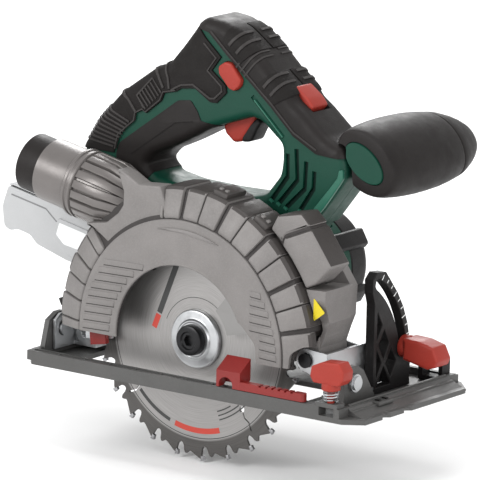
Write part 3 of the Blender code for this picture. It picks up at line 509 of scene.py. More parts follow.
# Lighter copy of the black rubber, used as painted highlight on raised ribs, cleats and lip.
RUBBER_HIGHLIGHT = moulded("rubber_painted_highlight", (0.030, 0.027, 0.026), 0.58, 1300.0, 0.4, 0.12, 0.0, 0.25)
RUBBER_FINE = moulded("grip_rubber", (0.0125, 0.0105, 0.010), 0.50, 1600.0, 0.35, 0.10, 0.0, 0.18)
BLACK = moulded("black_plastic", (0.011, 0.010, 0.010), 0.48, 1500.0, 0.3, 0.12, 0.0, 0.22)
RED = moulded("red_plastic", (0.290, 0.030, 0.020), 0.44, 1700.0, 0.15, 0.06, 0.0, 0.25)
YELLOW = moulded("plain_yellow", (0.62, 0.50, 0.02), 0.40, 1700.0, 0.05, 0.04, 0.0, 0.3)
DARK_RED = moulded("dark_red_plastic", (0.185, 0.012, 0.010), 0.40, 1600.0, 0.2, 0.08, 0.0, 0.4)
PACK = moulded("pack_grey", (0.40, 0.405, 0.41), 0.46, 1600.0, 0.2, 0.04, 0.0, 0.4)
PACK_DARK = moulded("pack_shadow", (0.17, 0.172, 0.175), 0.50, 1600.0, 0.2, 0.05)
LABEL = moulded("plain_label", (0.78, 0.79, 0.79), 0.36, 2500.0, 0.05, 0.02)
STEEL = metal("machined_steel", (0.60, 0.60, 0.60), 0.30)
ZINC = metal("zinc_plate", (0.50, 0.51, 0.52), 0.36, (300.0, 300.0, 300.0), 0.03, 0.06)
# Rougher, darker copy of the zinc plate; the rougher finish is its own, the darker colour is painted shade.
ZINC_DULL_SHADE = metal("zinc_dull_painted_shade", (0.27, 0.265, 0.26), 0.5, (300.0, 300.0, 300.0), 0.03, 0.06)
BLACK_STEEL = moulded("black_oxide", (0.012, 0.012, 0.013), 0.33, 1500.0, 0.2, 0.2, 0.6)
COPPER = metal("copper_winding", (0.60, 0.25, 0.11), 0.35, (900.0, 900.0, 90.0))
BOARD = moulded("circuit_board", (0.012, 0.075, 0.030), 0.35, 900.0, 0.3, 0.2)
CELL = moulded("cell_sleeve", (0.03, 0.12, 0.30), 0.30, 2000.0, 0.1, 0.08)
BLADE = blade_metal()
CARBIDE = metal("carbide_tip", (0.34, 0.34, 0.35), 0.30, (500.0, 500.0, 500.0), 0.05)
INK = moulded("ink_dark", (0.030, 0.030, 0.030), 0.4, 2500.0, 0.05, 0.05)
INK_RED = moulded("ink_red", (0.42, 0.035, 0.020), 0.4, 2500.0, 0.05, 0.05)

# --- carried-over CAD nodes --------------------------------
CARRIED = {
    STEEL: ("output_gear", "layshaft_gear", "output_spindle", "inner_flange", "spindle_bearing_near",
            "spindle_bearing_far", "motor_bearing_near", "motor_bearing_far", "armature_shaft", "motor_can"),
    ZINC: ("guard_return_spring", "guide_clamp_spring", "front_bracket", "rear_bracket", "depth_arm",
           "bevel_pivot_front", "bevel_pivot_rear"),
    BLACK_STEEL: ("depth_pivot_pin",),
    COPPER: ("armature_core",),
    BLACK: ("cooling_fan", "switch_module", "battery_socket", "spindle_lock_button", "far_guide_bracket",
            "bevel_quadrant", "depth_lock_lever"),
    BOARD: ("control_board",),
    CELL: tuple("battery_cell_%d" % (i + 1) for i in range(5)),
    RED: ("battery_release_button",),
    DARK_RED: ("guard_lever", "rail_catch"),
    CAST: ("gear_housing",),
    SHOE: ("base_plate",),
}
EDGE_WIDTHS = {"gear_housing": 0.0009, "front_bracket": 0.0005, "rear_bracket": 0.0005, "depth_arm": 0.0004,
               "depth_lock_lever": 0.0011, "battery_release_button": 0.0007, "far_guide_bracket": 0.0007,
               "spindle_lock_button": 0.0006, "bevel_quadrant": 0.0006, "base_plate": 0.0004,
               "rail_catch": 0.0006}


def dress(node, look):
    """Gives a CAD node its material, and soft edges where it has a width for them."""
    owner = frame["nodes"][node]
    owner.data.materials.clear()
    owner.data.materials.append(look)
    width = EDGE_WIDTHS.get(node)
    if width:
        weld = owner.modifiers.new("weld", "WELD")
        weld.merge_threshold = 0.00001
        bevel = owner.modifiers.new("edges", "BEVEL")
        bevel.width = width
        bevel.segments = 3
        bevel.limit_method = "ANGLE"
        bevel.angle_limit = math.radians(35.0)
        bevel.harden_normals = False


for look, nodes in CARRIED.items():
    for node in nodes:
        dress(node, look)


# --- blade, flange and bolt --------------------------------
def blade_outline():
    """Hooked teeth: tip, gullet, limiter spur and back slope."""
    stations = ((0.986, 0.35), (0.950, 0.42), (0.905, 0.75), (0.885, 1.6), (0.878, 2.6), (0.884, 3.6),
                (0.905, 4.4),
                (0.940, 4.9), (0.957, 5.6), (0.962, 6.4), (0.948, 7.2), (0.932, 8.0), (0.935, 9.2),
                (0.958, 12.0),
                (0.978, 14.2))
    points = []
    for tooth in range(BLADE_TEETH):
        start = FIRST_TOOTH + tooth * 360.0 / BLADE_TEETH
        points += [polar(BLADE_R * share, start + turn) for share, turn in stations]
    return points


def keyhole(angle):
    """Expansion slot: a thin bent cut from the rim band to a round end."""
    spine = [(0.865, 0.0), (0.80, 1.5), (0.745, 0.5), (0.70, 2.0)]
    right = [polar(BLADE_R * share, angle + turn + 0.45) for share, turn in spine]
    left = [polar(BLADE_R * share, angle + turn - 0.45) for share, turn in spine]
    end = polar(BLADE_R * 0.68, angle + 2.2)
    return left + right[::-1], circle(1.9, end, 16)


slots = [keyhole(FIRST_TOOTH + 21.0 + 90.0 * quarter) for quarter in range(4)]
body_disc = cut(slab("Y", blade_outline(), (-0.8, 0.8), 0.12, [circle(7.9, sides=40)], 1),
                group(*[slab("Y", slit, (-2.0, 2.0)) for slit, eye in slots]),
                group(*[slab("Y", eye, (-2.0, 2.0)) for slit, eye in slots]))
piece("blade_disc", body_disc, "blade_set", BLADE, ["blade"], 20.0)

tips = []
for tooth in range(BLADE_TEETH):
    angle = FIRST_TOOTH + tooth * 360.0 / BLADE_TEETH
    outline = [polar(BLADE_R * r, angle + a) for r, a in ((1.0, 0.0), (0.955, 0.30), (0.958, 1.55),
                                                          (0.993, 1.9))]
    tips.append(slab("Y", outline, (-1.1, 1.1), 0.1, (), 1))
piece("blade_tips", group(*tips), "blade_set", CARBIDE)


def mark(profile_low, profile_high, start, end, face=-0.83, depth=0.08):
    return swept([(profile_low, face), (profile_high, face), (profile_high, face + depth),
                  (profile_low, face + depth)],
                 start, end, step=2.0)


rings = [mark(60.8, 61.3, 0.0, 359.0), mark(24.5, 24.9, 20.0, 160.0), mark(55.4, 57.6, 222.0, 250.0)]
for step in range(3):
    rings.append(mark(50.0 - 2.6 * step, 50.8 - 2.6 * step, 290.0, 318.0 - 7.0 * step))
rings.append(slab("Y", soften([(-30.5, 12.0), (-27.0, 10.6), (-14.0, 43.5), (-17.6, 44.9)], 0.6),
                  (-0.86, -0.78)))
piece("blade_print", group(*rings), "blade_set", INK)
reds = [slab("Y", soften([(-34.2, 2.6), (-30.7, 1.2), (-27.4, 9.6), (-30.9, 11.0)], 0.5), (-0.86, -0.78)),
        mark(54.8, 58.2, 254.0, 288.0)]
piece("blade_accent", group(*reds), "blade_set", INK_RED)

flange = turned([(17.8, -1.2), (3.4, -1.2), (3.4, -5.6), (10.2, -5.6), (10.8, -5.9), (11.4, -5.9),
                 (11.9, -5.4),
                 (12.4, -4.6), (13.2, -4.3), (16.4, -4.3), (17.2, -4.0), (17.7, -3.3)], step=4.0)
piece("flange_outer", flange, "blade_set", ZINC, ["outer_flange"], 24.0)
bolt = turned([(3.0, -6.0), (3.0, 10.8), (0.01, 10.8), (0.01, -9.7), (5.0, -9.7), (5.6, -10.7), (7.9, -10.7),
               (8.9, -10.2), (9.3, -9.2), (9.4, -6.2)], step=6.0)
bolt = cut(bolt, slab("Y", circle(3.7, sides=6), (-12.0, -6.8)))
piece("bolt_head", bolt, "blade_set", BLACK_STEEL, ["blade_bolt"])

# --- lower guard -------------------------------------------
sheet_profile = [(80.2, -6.6), (80.2, 8.2), (79.8, 8.5), (21.0, 8.5), (21.0, 9.8), (16.9, 9.8), (16.9, 6.6),
                 (76.4, 6.6),
                 (76.8, 6.2), (76.8, -5.2), (76.4, -5.4), (60.0, -5.4), (60.0, -7.0), (79.8, -7.0)]
swing = join(swept(sheet_profile, 13.0, 188.0, step=2.5),
             turned([(21.1, 8.4), (21.1, 9.8), (16.9, 9.8), (16.9, 6.7),
                                                                   (21.1, 6.7)], step=6.0))
segment = slab("Y", arc(62.0, 14.0, 50.0) + soften(arc(27.0, 50.0, 14.0, step=8.0), 0.5), (-6.9, -5.5), 0.3)
piece("swing_guard_sheet", swing, "swing_guard", ZINC, ["lower_guard"], 28.0)
# The segment's darker zinc is painted shade under the upper guard.
piece("swing_guard_segment", segment, "swing_guard", ZINC_DULL_SHADE, (), 28.0)

# --- upper guard -------------------------------------------
below = (-130.0, 130.0), (-40.0, 40.0), (-120.0, GUARD_BOTTOM)
ARM_ROOM = (74.0, 120.0), (-9.0, 30.0), (-10.0, 11.0)
FRONT_ROOM = [(80, -10), (120, -10), (120, 22), (91.5, 22), (86, 10)]
NOTCH = soften([(78.5, -12), (120, -12), (120, 11), (88, 11), (80, 6)], 3.0)
window = soften([(-46.7, 2), (-46.7, -12), (57, -12), (57, -4), (56, 8), (46, 18), (30, 26), (-30, 26)], 2.5)
INNER = [(89.6, -11.0), (75.0, -16.6), (74.0, -17.0), (46.0, -17.0)]
core = swept([(WINDOW_R - 1.0, -18.6), (74.0, -18.6), (91.6, -12.2), (92.2, -11.0), (92.2, 13.0),
              (90.0, 17.2),
              (16.9, 17.2), (16.9, 15.4), (88.0, 15.4), (89.6, 12.6), *INNER], -8.0, 188.0, step=2.0)
core = cut(core, box(*below), slab("Y", NOTCH, (-30, -8.5)), slab("Y", window, (-30.0, -14.0)),
           rod("Y", (0, 0), WINDOW_R, (-30.0, -14.5), 96),
           box(*ARM_ROOM),
           slab("Y", FRONT_ROOM, (-8.9, 30.0)))
# The guard's core is given the darker cast grey as painted shade; it shows inside the window, along the rim
# and in the gaps between the blocks.
piece("guard_core", core, "saw_body", CAST_SHADE, ["upper_guard"])

face = swept([(WINDOW_R, -19.6), (WINDOW_R + 0.5, -20.0), (FACE_R - 1.1, -20.0), (FACE_R - 0.4, -19.5),
              (FACE_R - 0.3, -18.2), (WINDOW_R, -18.2)], -8.0, 188.0, step=2.0)
face = cut(face, box(*below), slab("Y", window, (-30.0, -14.0)))
ledges = []
for side, count, high in ((-1, 9, 44.0), (1, 8, 40.0)):
    for i in range(count):
        z = high - i * 5.1
        inner = math.sqrt(max(0.0, 51.5 ** 2 - z * z))
        outer = math.sqrt(71.5 ** 2 - z * z)
        if side > 0:
            inner = max(inner, 51.5 if z > 18 else 59.0)
        ledges.append([(side * inner, z), (side * outer, z - 0.6), (side * (outer + 0.5), z - 4.0),
                       (side * (inner + 0.6), z - 3.4)])
crescent = arc(69.6, 66.0, 104.0, step=3.0) + arc(92.0, 94.2, 75.6, (-6.0, -24.5), 3.0)[1:-1]
raised_rows = [slab("Y", soften(row, 0.4, 2), (-20.4, -19.0), 0.3, (), 1) for row in ledges]
shadows = [slab("Y", [(x, z - 3.2 if i < 2 else z - 0.55) for i, (x, z) in enumerate(row)], (-20.05, -19.0))
           for row in ledges]
emboss = slab("Y", crescent, (-20.9, -19.2), 0.6, (), 2)
piece("guard_face", face, "saw_body", CAST)
piece("guard_ledges", group(*raised_rows, emboss), "saw_body", CAST)
piece("guard_ledge_shadows", group(*shadows), "saw_body", CAST_SHADE)


def guard_block(start, end, rise, back=14.0, chamfer=1.0):
    """One raised block of the guard's outer ring, between two angles."""
    front = -19.3 - rise
    rim = GUARD_R - 0.6 + rise
    profile = [(FACE_R + 0.2, front + 0.9), (FACE_R + 1.2, front), (FACE_R + 3.0, front + 0.3),
               (rim - 1.8, -14.3 - rise),
               (rim, -12.8), (rim, back - 1.5), (rim - 1.6, back), (89.8, back), (89.8, -11.0),
               (FACE_R + 0.2, -16.5)]
    return edged(swept(profile, start, end, step=2.0), chamfer, 2, 50.0)


DARK_GAPS = (103.2, 90.4, 70.6, 50.8, 31.6, 13.0)
FINE_GAPS = (100.2, 81.0, 61.4, 42.0, 22.6)
DARK_HALF, FINE_HALF = 0.95, 0.28
blocks = []
bounds = sorted(DARK_GAPS + FINE_GAPS + (-6.0,), reverse=True)
for index, (high, low) in enumerate(zip(bounds, bounds[1:])):
    top = high - (DARK_HALF if high in DARK_GAPS else FINE_HALF)
    bottom = low + (DARK_HALF if low in DARK_GAPS else FINE_HALF)
    blocks.append(guard_block(bottom, top, 0.35 if index % 2 else 0.0))
for high, low, rise in ((189.0, 178.6, 0.0), (178.0, 169.2, 0.35), (168.6, 161.0, 0.0), (160.4, 153.0, 0.35),
                        (152.4, 144.2, 0.0), (143.6, 139.2, 0.35)):
    blocks.append(guard_block(low, high, rise))
ring = group(*blocks)
ring = cut(ring, box(*below), slab("Y", NOTCH, (-30, -8.5)), box(*ARM_ROOM),
           slab("Y", FRONT_ROOM, (-8.9, 30.0)))
# The outward-facing rim faces of the blocks get the darker rim grey as painted shade.
darken(piece("guard_blocks", ring, "saw_body", CAST), CAST_RIM_SHADE, outward)

pads = [edged(swept([(GUARD_R - 1.5, span[0]), (GUARD_R + 2.6, span[0] + 1.0), (GUARD_R + 2.6, span[1]),
                     (GUARD_R - 1.5, span[1])], low, high, step=2.0), 0.8, 2, 50.0)
        for low, high, span in ((73.2, 79.6, (-12.0, 8.0)), (53.4, 60.0, (-12.0, 8.0)))]
# The rim pads are given the darker rim grey as painted shade.
piece("guard_pads", group(*pads), "saw_body", CAST_RIM_SHADE)
ridges = [edged(swept([(GUARD_R + 2.0, -8.6), (GUARD_R + 3.6, -8.6), (GUARD_R + 3.6, -5.8),
                       (GUARD_R + 2.0, -5.8)],
                      low, high, step=1.0), 0.5, 2, 50.0)
          for low, high in ((74.6, 76.0), (77.0, 78.4), (54.8, 56.2), (57.4, 58.8))]
piece("guard_pad_ridges", group(*ridges), "saw_body", CAST)


def port_turned(profile, step=5.0):
    """(radius, distance) profile turned about the tilted dust axis; distances run forward."""
    shape = turned(profile, step=step)
    return moved(shape, PORT_PLACE @ Matrix.Rotation(-math.pi / 2, 4, "Z"))


RECESS = [(-49.5, 98.6), (-47.5, 93.4), (-44.6, 85.3), (-44.9, 77.3), (-48.6, 71.9), (-57.5, 64.9),
          (-72.6, 62.6)]
web = slab("Y", soften(arc(FACE_R + 0.4, 98.0, 136.0) + [(-62.0, 57.5)] + RECESS[::-1]
                       + [(-41.6, 95.6), (-33.2, 91.2), (-17.7, 92.3)], 0.8, 2), (-17.4, -5.0), 1.0)
back = slab("Y", soften(arc(FACE_R + 0.8, 98.0, 136.0) + [(-62, 57.5), (-77, 62), (-78, 88), (-76, 97.0),
                                                          (-66, 100.4),
                                                          (-50, 99.0), (-33, 96.0), (-17, 94.6)], 1.0, 2),
            (-13.5, 15.5), 5.0)
back = cut(back, slab("Y", RECESS + [(-95, 62), (-95, 97), (-75, 97.4), (-60, 97.6)], (-30, -4.0)))
tube = port_turned([(19.4, 15.2), (19.4, 37.6), (20.6, 38.2), (21.4, 39.0), (21.4, 40.4), (20.7, 41.0),
                    (20.7, 42.0),
                    (21.3, 42.6), (21.3, 44.2), (20.4, 45.0), (18.6, 45.6), (18.4, 64.0), (9.0, 88.0),
                    (7.0, 88.0), (16.1, 64.0),
                    (16.1, 15.2)], 4.0)
flutes = []
for i in range(20):
    rib = slab("Y", [(45.4, 17.6), (64.0, 17.6), (88.0, 8.4), (87.0, 11.2), (76.0, 17.6), (64.0, 21.0),
                     (46.4, 21.2),
                     (45.4, 20.6)], (-2.35, 2.35), 0.3, (), 1)
    flutes.append(moved(rib, PORT_PLACE @ Matrix.Rotation(math.radians(18.0 * i + 4.0), 4, "X")))
piece("dust_web", web, "saw_body", CAST)
# The dust neck is given the darker rim grey as painted shade.
piece("dust_neck", back, "saw_body", CAST_RIM_SHADE)
# The inner cone is given the darker cast grey as painted shade inside the port.
piece("dust_cone", port_turned([(17.9, 46.0), (17.7, 64.0), (8.6, 87.0), (8.0, 87.0), (17.0, 64.0),
                                (17.0, 46.0)]), "saw_body",
      CAST_SHADE)
piece("dust_tube", tube, "saw_body", PORT)
piece("dust_flutes", group(*flutes), "saw_body", PORT)
spigot = port_turned([(17.2, 0.0), (17.8, 0.6), (17.8, 14.2), (17.3, 14.8), (15.5, 14.8), (15.5, 29.6),
                      (13.6, 30.0),
                      (13.6, 0.0)], 4.0)
piece("adapter_sleeve", spigot, "dust_outlet", RUBBER_FINE, ["dust_adapter"])

# --- front block -------------------------------------------
main = slab("Y", soften([polar(95.2, 45.4), polar(95.2, 40.0), polar(95.2, 33.0), polar(95.4, 27.8),
                         (91.4, 48.0),
                         (102.4, 59.0), (86.9, 80.0), (68.2, 72.2)], 1.2, 3), (-10.0, 9.6), 1.5)
upper = slab("Y", soften([polar(95.2, 53.0), (62.2, 84.8), (78.6, 88.2), (85.6, 81.6), (67.6, 73.6),
                          polar(95.2, 46.4)], 1.2, 3), (-8.6, 9.8), 1.5)
groove = slab("Y", soften([polar(95.0, 50.0), (66.0, 80.0), (84.0, 82.5), (99.0, 60.0), polar(95.0, 32.0)],
                          1.0), (-8.0, 8.8), 0.5)
# Upward-facing faces of the front block get the darker rim grey as painted shade.
darken(piece("front_block", group(main, upper), "saw_body", CAST, ["front_housing"]), CAST_RIM_SHADE,
       lambda at, facing: facing.z > 0.5)
# The recessed groove between the two blocks is given the darker cast grey as painted shade.
piece("front_block_seam", groove, "saw_body", CAST_SHADE)

# --- handle ------------------------------------------------
MOTOR_ARC = arc(36.4, 40.0, 160.0, MOTOR)
SEAM = [(-22.6, 180.6), (-16.5, 179.4), (-2.8, 167.2), (30.2, 140.0), (46.6, 124.8), (63.6, 116.1),
        (79.0, 115.2)]
REAR = [(-111.2, 92), (-110.4, 98), (-99.2, 116), (-82, 134.2), (-59, 150.4), (-46.2, 156.4), (-36.8, 167.3),
        (-28.8, 177.4), (-25.2, 182.5)]
CROWN = [(-20.3, 186.2), (-8.4, 184.7), (2.8, 180.0), (17.8, 169.2), (29.1, 158.5), (41.0, 149.2),
         (44.1, 144.2),
         (52.2, 138.6), (67.8, 125.6), (76.0, 121.5), (79.5, 121.0)]
FOOT = [(-17, 44), (-23.5, 25), (-52, 19), (-55.3, 50.2), (-107.4, 60.9)]
FINGERS = [(-64, 92.7), (-58, 99.7), (-41, 107.5), (-24, 116.5), (-17, 120.5), (14, 131.5), (21.7, 129.5),
           (36.6, 117.6),
           (36.9, 108.6), (35.6, 99.4), (25, 86), (12, 82.5), (-12, 82), (-40, 83), (-57, 86)]
WHOLE = soften(REAR + CROWN + [(83.6, 113.0), (83.5, 103.0), (80.9, 99.1), (58.5, 69.9)], 2.5,
               3) + MOTOR_ARC + FOOT
UPPER = SEAM + [(90, 116), (90, 200), (-60, 200), (-24.6, 182.0)]
PATCH = [(-18.9, 175.5), (-7.3, 165.3), (-13.9, 156.6), (-3.5, 148.7), (-2.8, 144.2), (-10, 137.2),
         (-14.6, 137.1),
         (-26.1, 144), (-36.3, 142.7), (-40.3, 140.3), (-48.9, 138.3), (-51.1, 133.3), (-62.4, 124.3),
         (-64.8, 125.9),
         (-70.5, 123.3), (-71.6, 118.5), (-84.2, 108.3), (-86.3, 97.1)]
BEHIND = [(-125, 97.1), (-125, 200), (-24.6, 182.0)]


def handle_solid(rise=0.0):
    """The whole handle with its rims rolled over, prouder by the rise."""
    return slab("Y", WHOLE, (HANDLE_NEAR - rise, HANDLE_FAR + rise), 5.4 + rise, [soften(FINGERS, 3.0, 3)],
                4, rise)


def prism(outline, span=(15.0, 75.0), grow=0.0):
    return slab("Y", outline, span, 0.0, (), 1, grow)


def raised(rise, *outlines):
    """Those parts of the handle's surface that stand proud by the rise."""
    return combine(handle_solid(rise), group(*[prism(outline) for outline in outlines]), "INTERSECT", True)


def both_sides(outline, depth, rounding=0.0):
    """The same flat detail on the near and the far face of the handle."""
    near = slab("Y", outline, (HANDLE_NEAR - 1.5, HANDLE_NEAR + depth), rounding)
    far = slab("Y", outline, (HANDLE_FAR - depth, HANDLE_FAR + 1.5), rounding)
    return group(near, far)


LOCK = soften([(-8.0, 160.0), (-3.0, 163.4), (1.6, 162.6), (9.0, 153.6), (7.8, 149.6), (4.0, 146.4),
               (0.0, 147.4),
               (-7.6, 155.6)], 1.6)
GROOVES = ([(42.2, 113.5), (42.6, 99.6), (31.2, 83.9)], [(48.6, 117.1), (49.8, 98.4), (36.5, 82.5)],
           [(55.9, 110.5), (55.1, 93.7), (41.8, 80.6)], [(61.9, 105.4), (61.5, 94.6), (52.2, 80.4)])
green = handle_solid()
green = cut(green, prism(UPPER, grow=0.12), prism(PATCH + BEHIND, grow=0.12),
            slab("Y", [(-18.5, 128.0), (-16.0, 113.0), (0.0, 108.0), (13.0, 122.0), (16.0, 134.0), (10, 140),
                       (-14, 140)],
                 (37.0, 53.0)),
            prism(LOCK, grow=0.4),
            both_sides(stroke([(15.5, 144.6), (39.1, 122.8)], 2.8), 1.0),
            *[both_sides(stroke(line, 3.2), 2.2) for line in GROOVES])
far_half = cut(copied(green), box((-130, 130), (0, HANDLE_MID + 0.15), (0, 220)))
near_half = cut(green, box((-130, 130), (HANDLE_MID - 0.15, 90), (0, 220)))
piece("handle_near_half", near_half, "saw_body", GREEN, ["handle_shell_near"], 28.0)
piece("handle_far_half", far_half, "saw_body", GREEN, ["handle_shell_far"], 28.0)
floors = [slab("Y", stroke(line, 3.0), span) for line in GROOVES for span in ((29.6, 30.15), (59.85, 60.4))]
# The groove floors are a darker green as painted shade in the grooves.
piece("groove_floors", group(*floors), "saw_body", GREEN_SHADE)
ridge = both_sides(stroke([(17.3, 142.6), (38.6, 122.9)], 0.8), 0.9)
ledge = [both_sides(stroke([(line[2][0] - 1.2, line[2][1] + 0.4), (line[2][0] + 1.0, line[2][1] - 1.2)],
                           1.2), 0.5)
         for line in GROOVES]
for shape in (ridge, *ledge):
    shape.data.transform(Matrix.Translation((0.0, 45.0, 0.0)) @ Matrix.Diagonal((1.0, 0.955, 1.0, 1.0))
                         @ Matrix.Translation((0.0, -45.0, 0.0)))
# The raised ridge and ledges are a lighter green as painted highlight.
piece("handle_lines", group(ridge, *ledge), "saw_body", GREEN_HIGHLIGHT)
shin = slab("Y", soften([(62.6, 76.4), (69.6, 84.6), (80.6, 100.0), (82.6, 103.2), (82.4, 109.0),
                         (79.6, 108.4), (78.6, 103.6),
                         (74.0, 97.6), (62.0, 83.0)], 1.0), (27.6, 30.0), 0.5)
# The shin strip is a lighter green as painted highlight.
piece("handle_shin", shin, "saw_body", GREEN_HIGHLIGHT)

LIGHT_SEAT = [(33.0, 145.3), (49.4, 133.0), (59.2, 144.6), (42.4, 157.8)]
crown = cut(combine(handle_solid(1.5), prism(UPPER), "INTERSECT"), slab("Y", LIGHT_SEAT, (36.2, 53.8)))
piece("crown_rubber", edged(crown, 0.5, 2, 48.0), "saw_body", RUBBER_FINE, ["handle_top_cover"])
BANDS = ([(-6.1, 174.3), (7.7, 163.5), (32, 184), (4, 200)],
         [(19.6, 151.9), (32.7, 141.6), (60, 158), (44, 172)])
lip = raised(1.9, stroke([(-14.6, 180.2), (-2.0, 169.2), (31.0, 142.0), (47.2, 127.0), (64.0, 118.6)], 1.0))
# The lip is a lighter rubber as painted highlight.
piece("crown_lip", lip, "saw_body", RUBBER_HIGHLIGHT)
bands = cut(raised(2.2, *BANDS), box((-40, 80), (HANDLE_MID - 0.8, HANDLE_MID + 0.8), (100, 220)))
piece("crown_bands", edged(bands, 0.45, 2, 48.0), "saw_body", RUBBER)
CLEATS = []
for (x, z) in ((-0.5, 173.6), (5.0, 169.4), (25.4, 151.4), (30.6, 147.2)):
    CLEATS.append(stroke([(x, z), (x + 11.0, z + 13.0)], 1.8))
for (x, z) in ((10.6, 166.8), (13.6, 164.4), (16.6, 162.0)):
    CLEATS.append(stroke([(x - 6.0, z - 6.0), (x + 10.0, z + 13.0)], 1.1))
cleats = [cut(raised(rise, *lines), box((-40, 80), (HANDLE_MID - 4.0, HANDLE_MID + 4.0), (100, 220)))
          for rise, lines in ((2.9, CLEATS[:4]), (2.0, CLEATS[4:]))]
# The cleats are a lighter rubber as painted highlight.
piece("crown_cleats", group(*cleats), "saw_body", RUBBER_HIGHLIGHT)

heel = combine(handle_solid(1.2), prism(PATCH + BEHIND, grow=-0.1), "INTERSECT")
piece("heel_rubber", edged(heel, 0.5, 2, 48.0), "saw_body", RUBBER, ["rear_grip_rubber"])
RIBS = []
for i in range(9):
    start = Vector((-86.0, 101.0)).lerp(Vector((-74.6, 117.6)), i / 8.0)
    RIBS.append(stroke([tuple(start), tuple(start + Vector((-30.0, 4.0 + i)))], 1.2))
for i in range(6):
    start = Vector((-62.4, 127.0)).lerp(Vector((-52.6, 136.4)), i / 5.0)
    RIBS.append(stroke([tuple(start), tuple(start + Vector((-6.4, 7.4)))], 1.0))
for line, width in (([(-63.6, 127.6), (-69.0, 134.6), (-57.6, 146.6), (-50.8, 138.4)], 1.2),
                    ([(-49.4, 141.6), (-53.4, 149.0), (-66.0, 160.0)], 1.6),
                    ([(-45.0, 141.6), (-46.0, 148.4), (-52.0, 162.0)], 1.4),
                    ([(-70.0, 124.6), (-75.6, 131.6), (-90.0, 140.0)], 1.6)):
    RIBS.append(stroke(line, width))
inner_line = [(-43.4, 140.9), (-40.0, 143.0), (-36.0, 145.0), (-27.3, 146.4), (-14.6, 139.6), (-11.2, 139.9),
              (-5.6, 145.0),
              (-6.2, 148.0), (-16.6, 156.2), (-10.4, 164.6), (-19.6, 172.6)]
RIBS.append(stroke(inner_line, 1.1))
RIBS.append(stroke([(-85.2, 99.6), (-83.0, 108.9), (-71.2, 118.9), (-70.2, 123.9), (-64.8, 126.7),
                    (-62.4, 125.2),
                    (-51.7, 134.0), (-49.4, 139.2), (-40.3, 141.2)], 0.8))
# The heel ribs are a lighter rubber as painted highlight.
piece("heel_ribs", raised(1.95, *RIBS), "saw_body", RUBBER_HIGHLIGHT)

PALM = [(-84.7, 97.2), (-82.5, 103.7), (-38.7, 135.2), (-29.5, 136.4), (-24.2, 130.1), (-21.8, 124.8),
        (-9.3, 122.8),
        (-16.0, 112.0), (-41, 98.0), (-58, 90.0), (-62, 82.0), (-84.0, 82.0)]
piece("palm_panel", edged(raised(0.5, soften(PALM, 1.5)), 0.35, 2, 48.0), "saw_body", RUBBER_FINE)
PALM_LINE = stroke([(-73.4, 98.1), (-40.6, 121.3), (-27.5, 123.6)], 0.7)
piece("palm_line", raised(0.75, PALM_LINE), "saw_body", RUBBER)

press = slab("Y", soften([(34.2, 146.4), (48.8, 135.4), (53.8, 141.2), (49.8, 146.0), (40.8, 152.6),
                          (38.4, 151.8)], 1.6),
             (37.0, 53.0), 1.4)
piece("light_press", press, "light_switch", RED, ["light_button"])
piece("lock_press", slab("Y", LOCK, (25.0, 65.0), 1.2), "lock_off", RED,
      ["lock_off_button"])
pull = slab("Y", soften([(-14.0, 128.0), (-11.8, 117.4), (-5.0, 112.2), (1.2, 113.6), (5.0, 119.0),
                         (10.2, 127.0), (10.4, 131.6),
                         (4.0, 132.6), (-8.0, 130.5)], 2.0), (37.8, 52.2), 2.4)
piece("trigger_pull_face", pull, "trigger_body", RED, ["trigger"])
toe = slab("Y", soften([(12.0, 129.6), (14.6, 126.6), (11.8, 122.4), (8.0, 114.9), (5.6, 113.9),
                        (1.2, 113.4), (0.4, 117.0),
                        (6.4, 125.0)], 1.2), (38.2, 51.8), 1.6)
piece("trigger_toe", toe, "trigger_body", BLACK)


# --- auxiliary handle --------------------------------------
def oval(profile, wide, tall):
    """(share of radius, y) profile turned and squashed to the grip's slanted oval."""
    made = turned([(10.0 * share, y) for share, y in profile], step=5.0)
    place = Matrix.Translation((AUX_CENTRE[0], 0.0, AUX_CENTRE[1])) @ Matrix.Rotation(-AUX_TILT, 4, "Y")
    return moved(made, place @ Matrix.Diagonal((wide / 10.0, 1.0, tall / 10.0, 1.0)))


AUX_FLAT = [(40, 60), (60, 60), (84.3, 97.4), (84.1, 122.0), (80.2, 124.0), (40, 125)]
stub = cut(oval([(0.001, 28.4), (0.955, 28.4), (0.985, 28.7), (1.0, 29.4), (1.0, 62.0), (0.8, 63.0),
                 (0.8, 112.0),
                 (0.001, 112.0)], 15.6, 8.8), slab("Y", AUX_FLAT, (20.0, 70.0)))
piece("grip_stub", stub, "saw_body", GREEN, ["aux_handle_core"])
sleeve = oval([(0.001, 29.6), (0.80, 29.6), (0.86, 30.0), (0.90, 31.2), (0.93, 33.0), (0.965, 37.0),
               (1.0, 44.0), (1.027, 53.0),
               (1.04, 62.0), (1.036, 73.0), (1.02, 84.0), (0.975, 95.0), (0.93, 102.4), (0.915, 103.6),
               (0.90, 104.0),
               (0.001, 104.0)], 25.5, 18.4)
sleeve = cut(sleeve, oval([(0.001, 20.0), (1.0, 20.0), (1.0, 62.3), (0.8, 63.3), (0.8, 110.0),
                           (0.001, 110.0)], 16.0, 9.2),
             slab("Y", [(40, 60), (60, 60), (82.2, 97.4), (88.5, 101.0), (86.5, 121.0), (80.2, 124.0),
                        (40, 125)],
                  (20.0, 63.9)))
piece("grip_sleeve", sleeve, "saw_body", RUBBER_FINE, ["aux_handle_grip"])
knob_end = cut(oval([(0.001, 104.3), (0.89, 104.3), (0.905, 104.7), (0.912, 105.4), (0.88, 109.6),
                     (0.82, 114.0), (0.73, 120.2),
                     (0.62, 126.0), (0.50, 131.0), (0.36, 134.6), (0.20, 136.7), (0.08, 137.4),
                     (0.001, 137.5)], 25.5, 18.4),
               oval([(0.001, 100.0), (0.8, 100.0), (0.8, 112.6), (0.001, 112.6)], 16.0, 9.2))
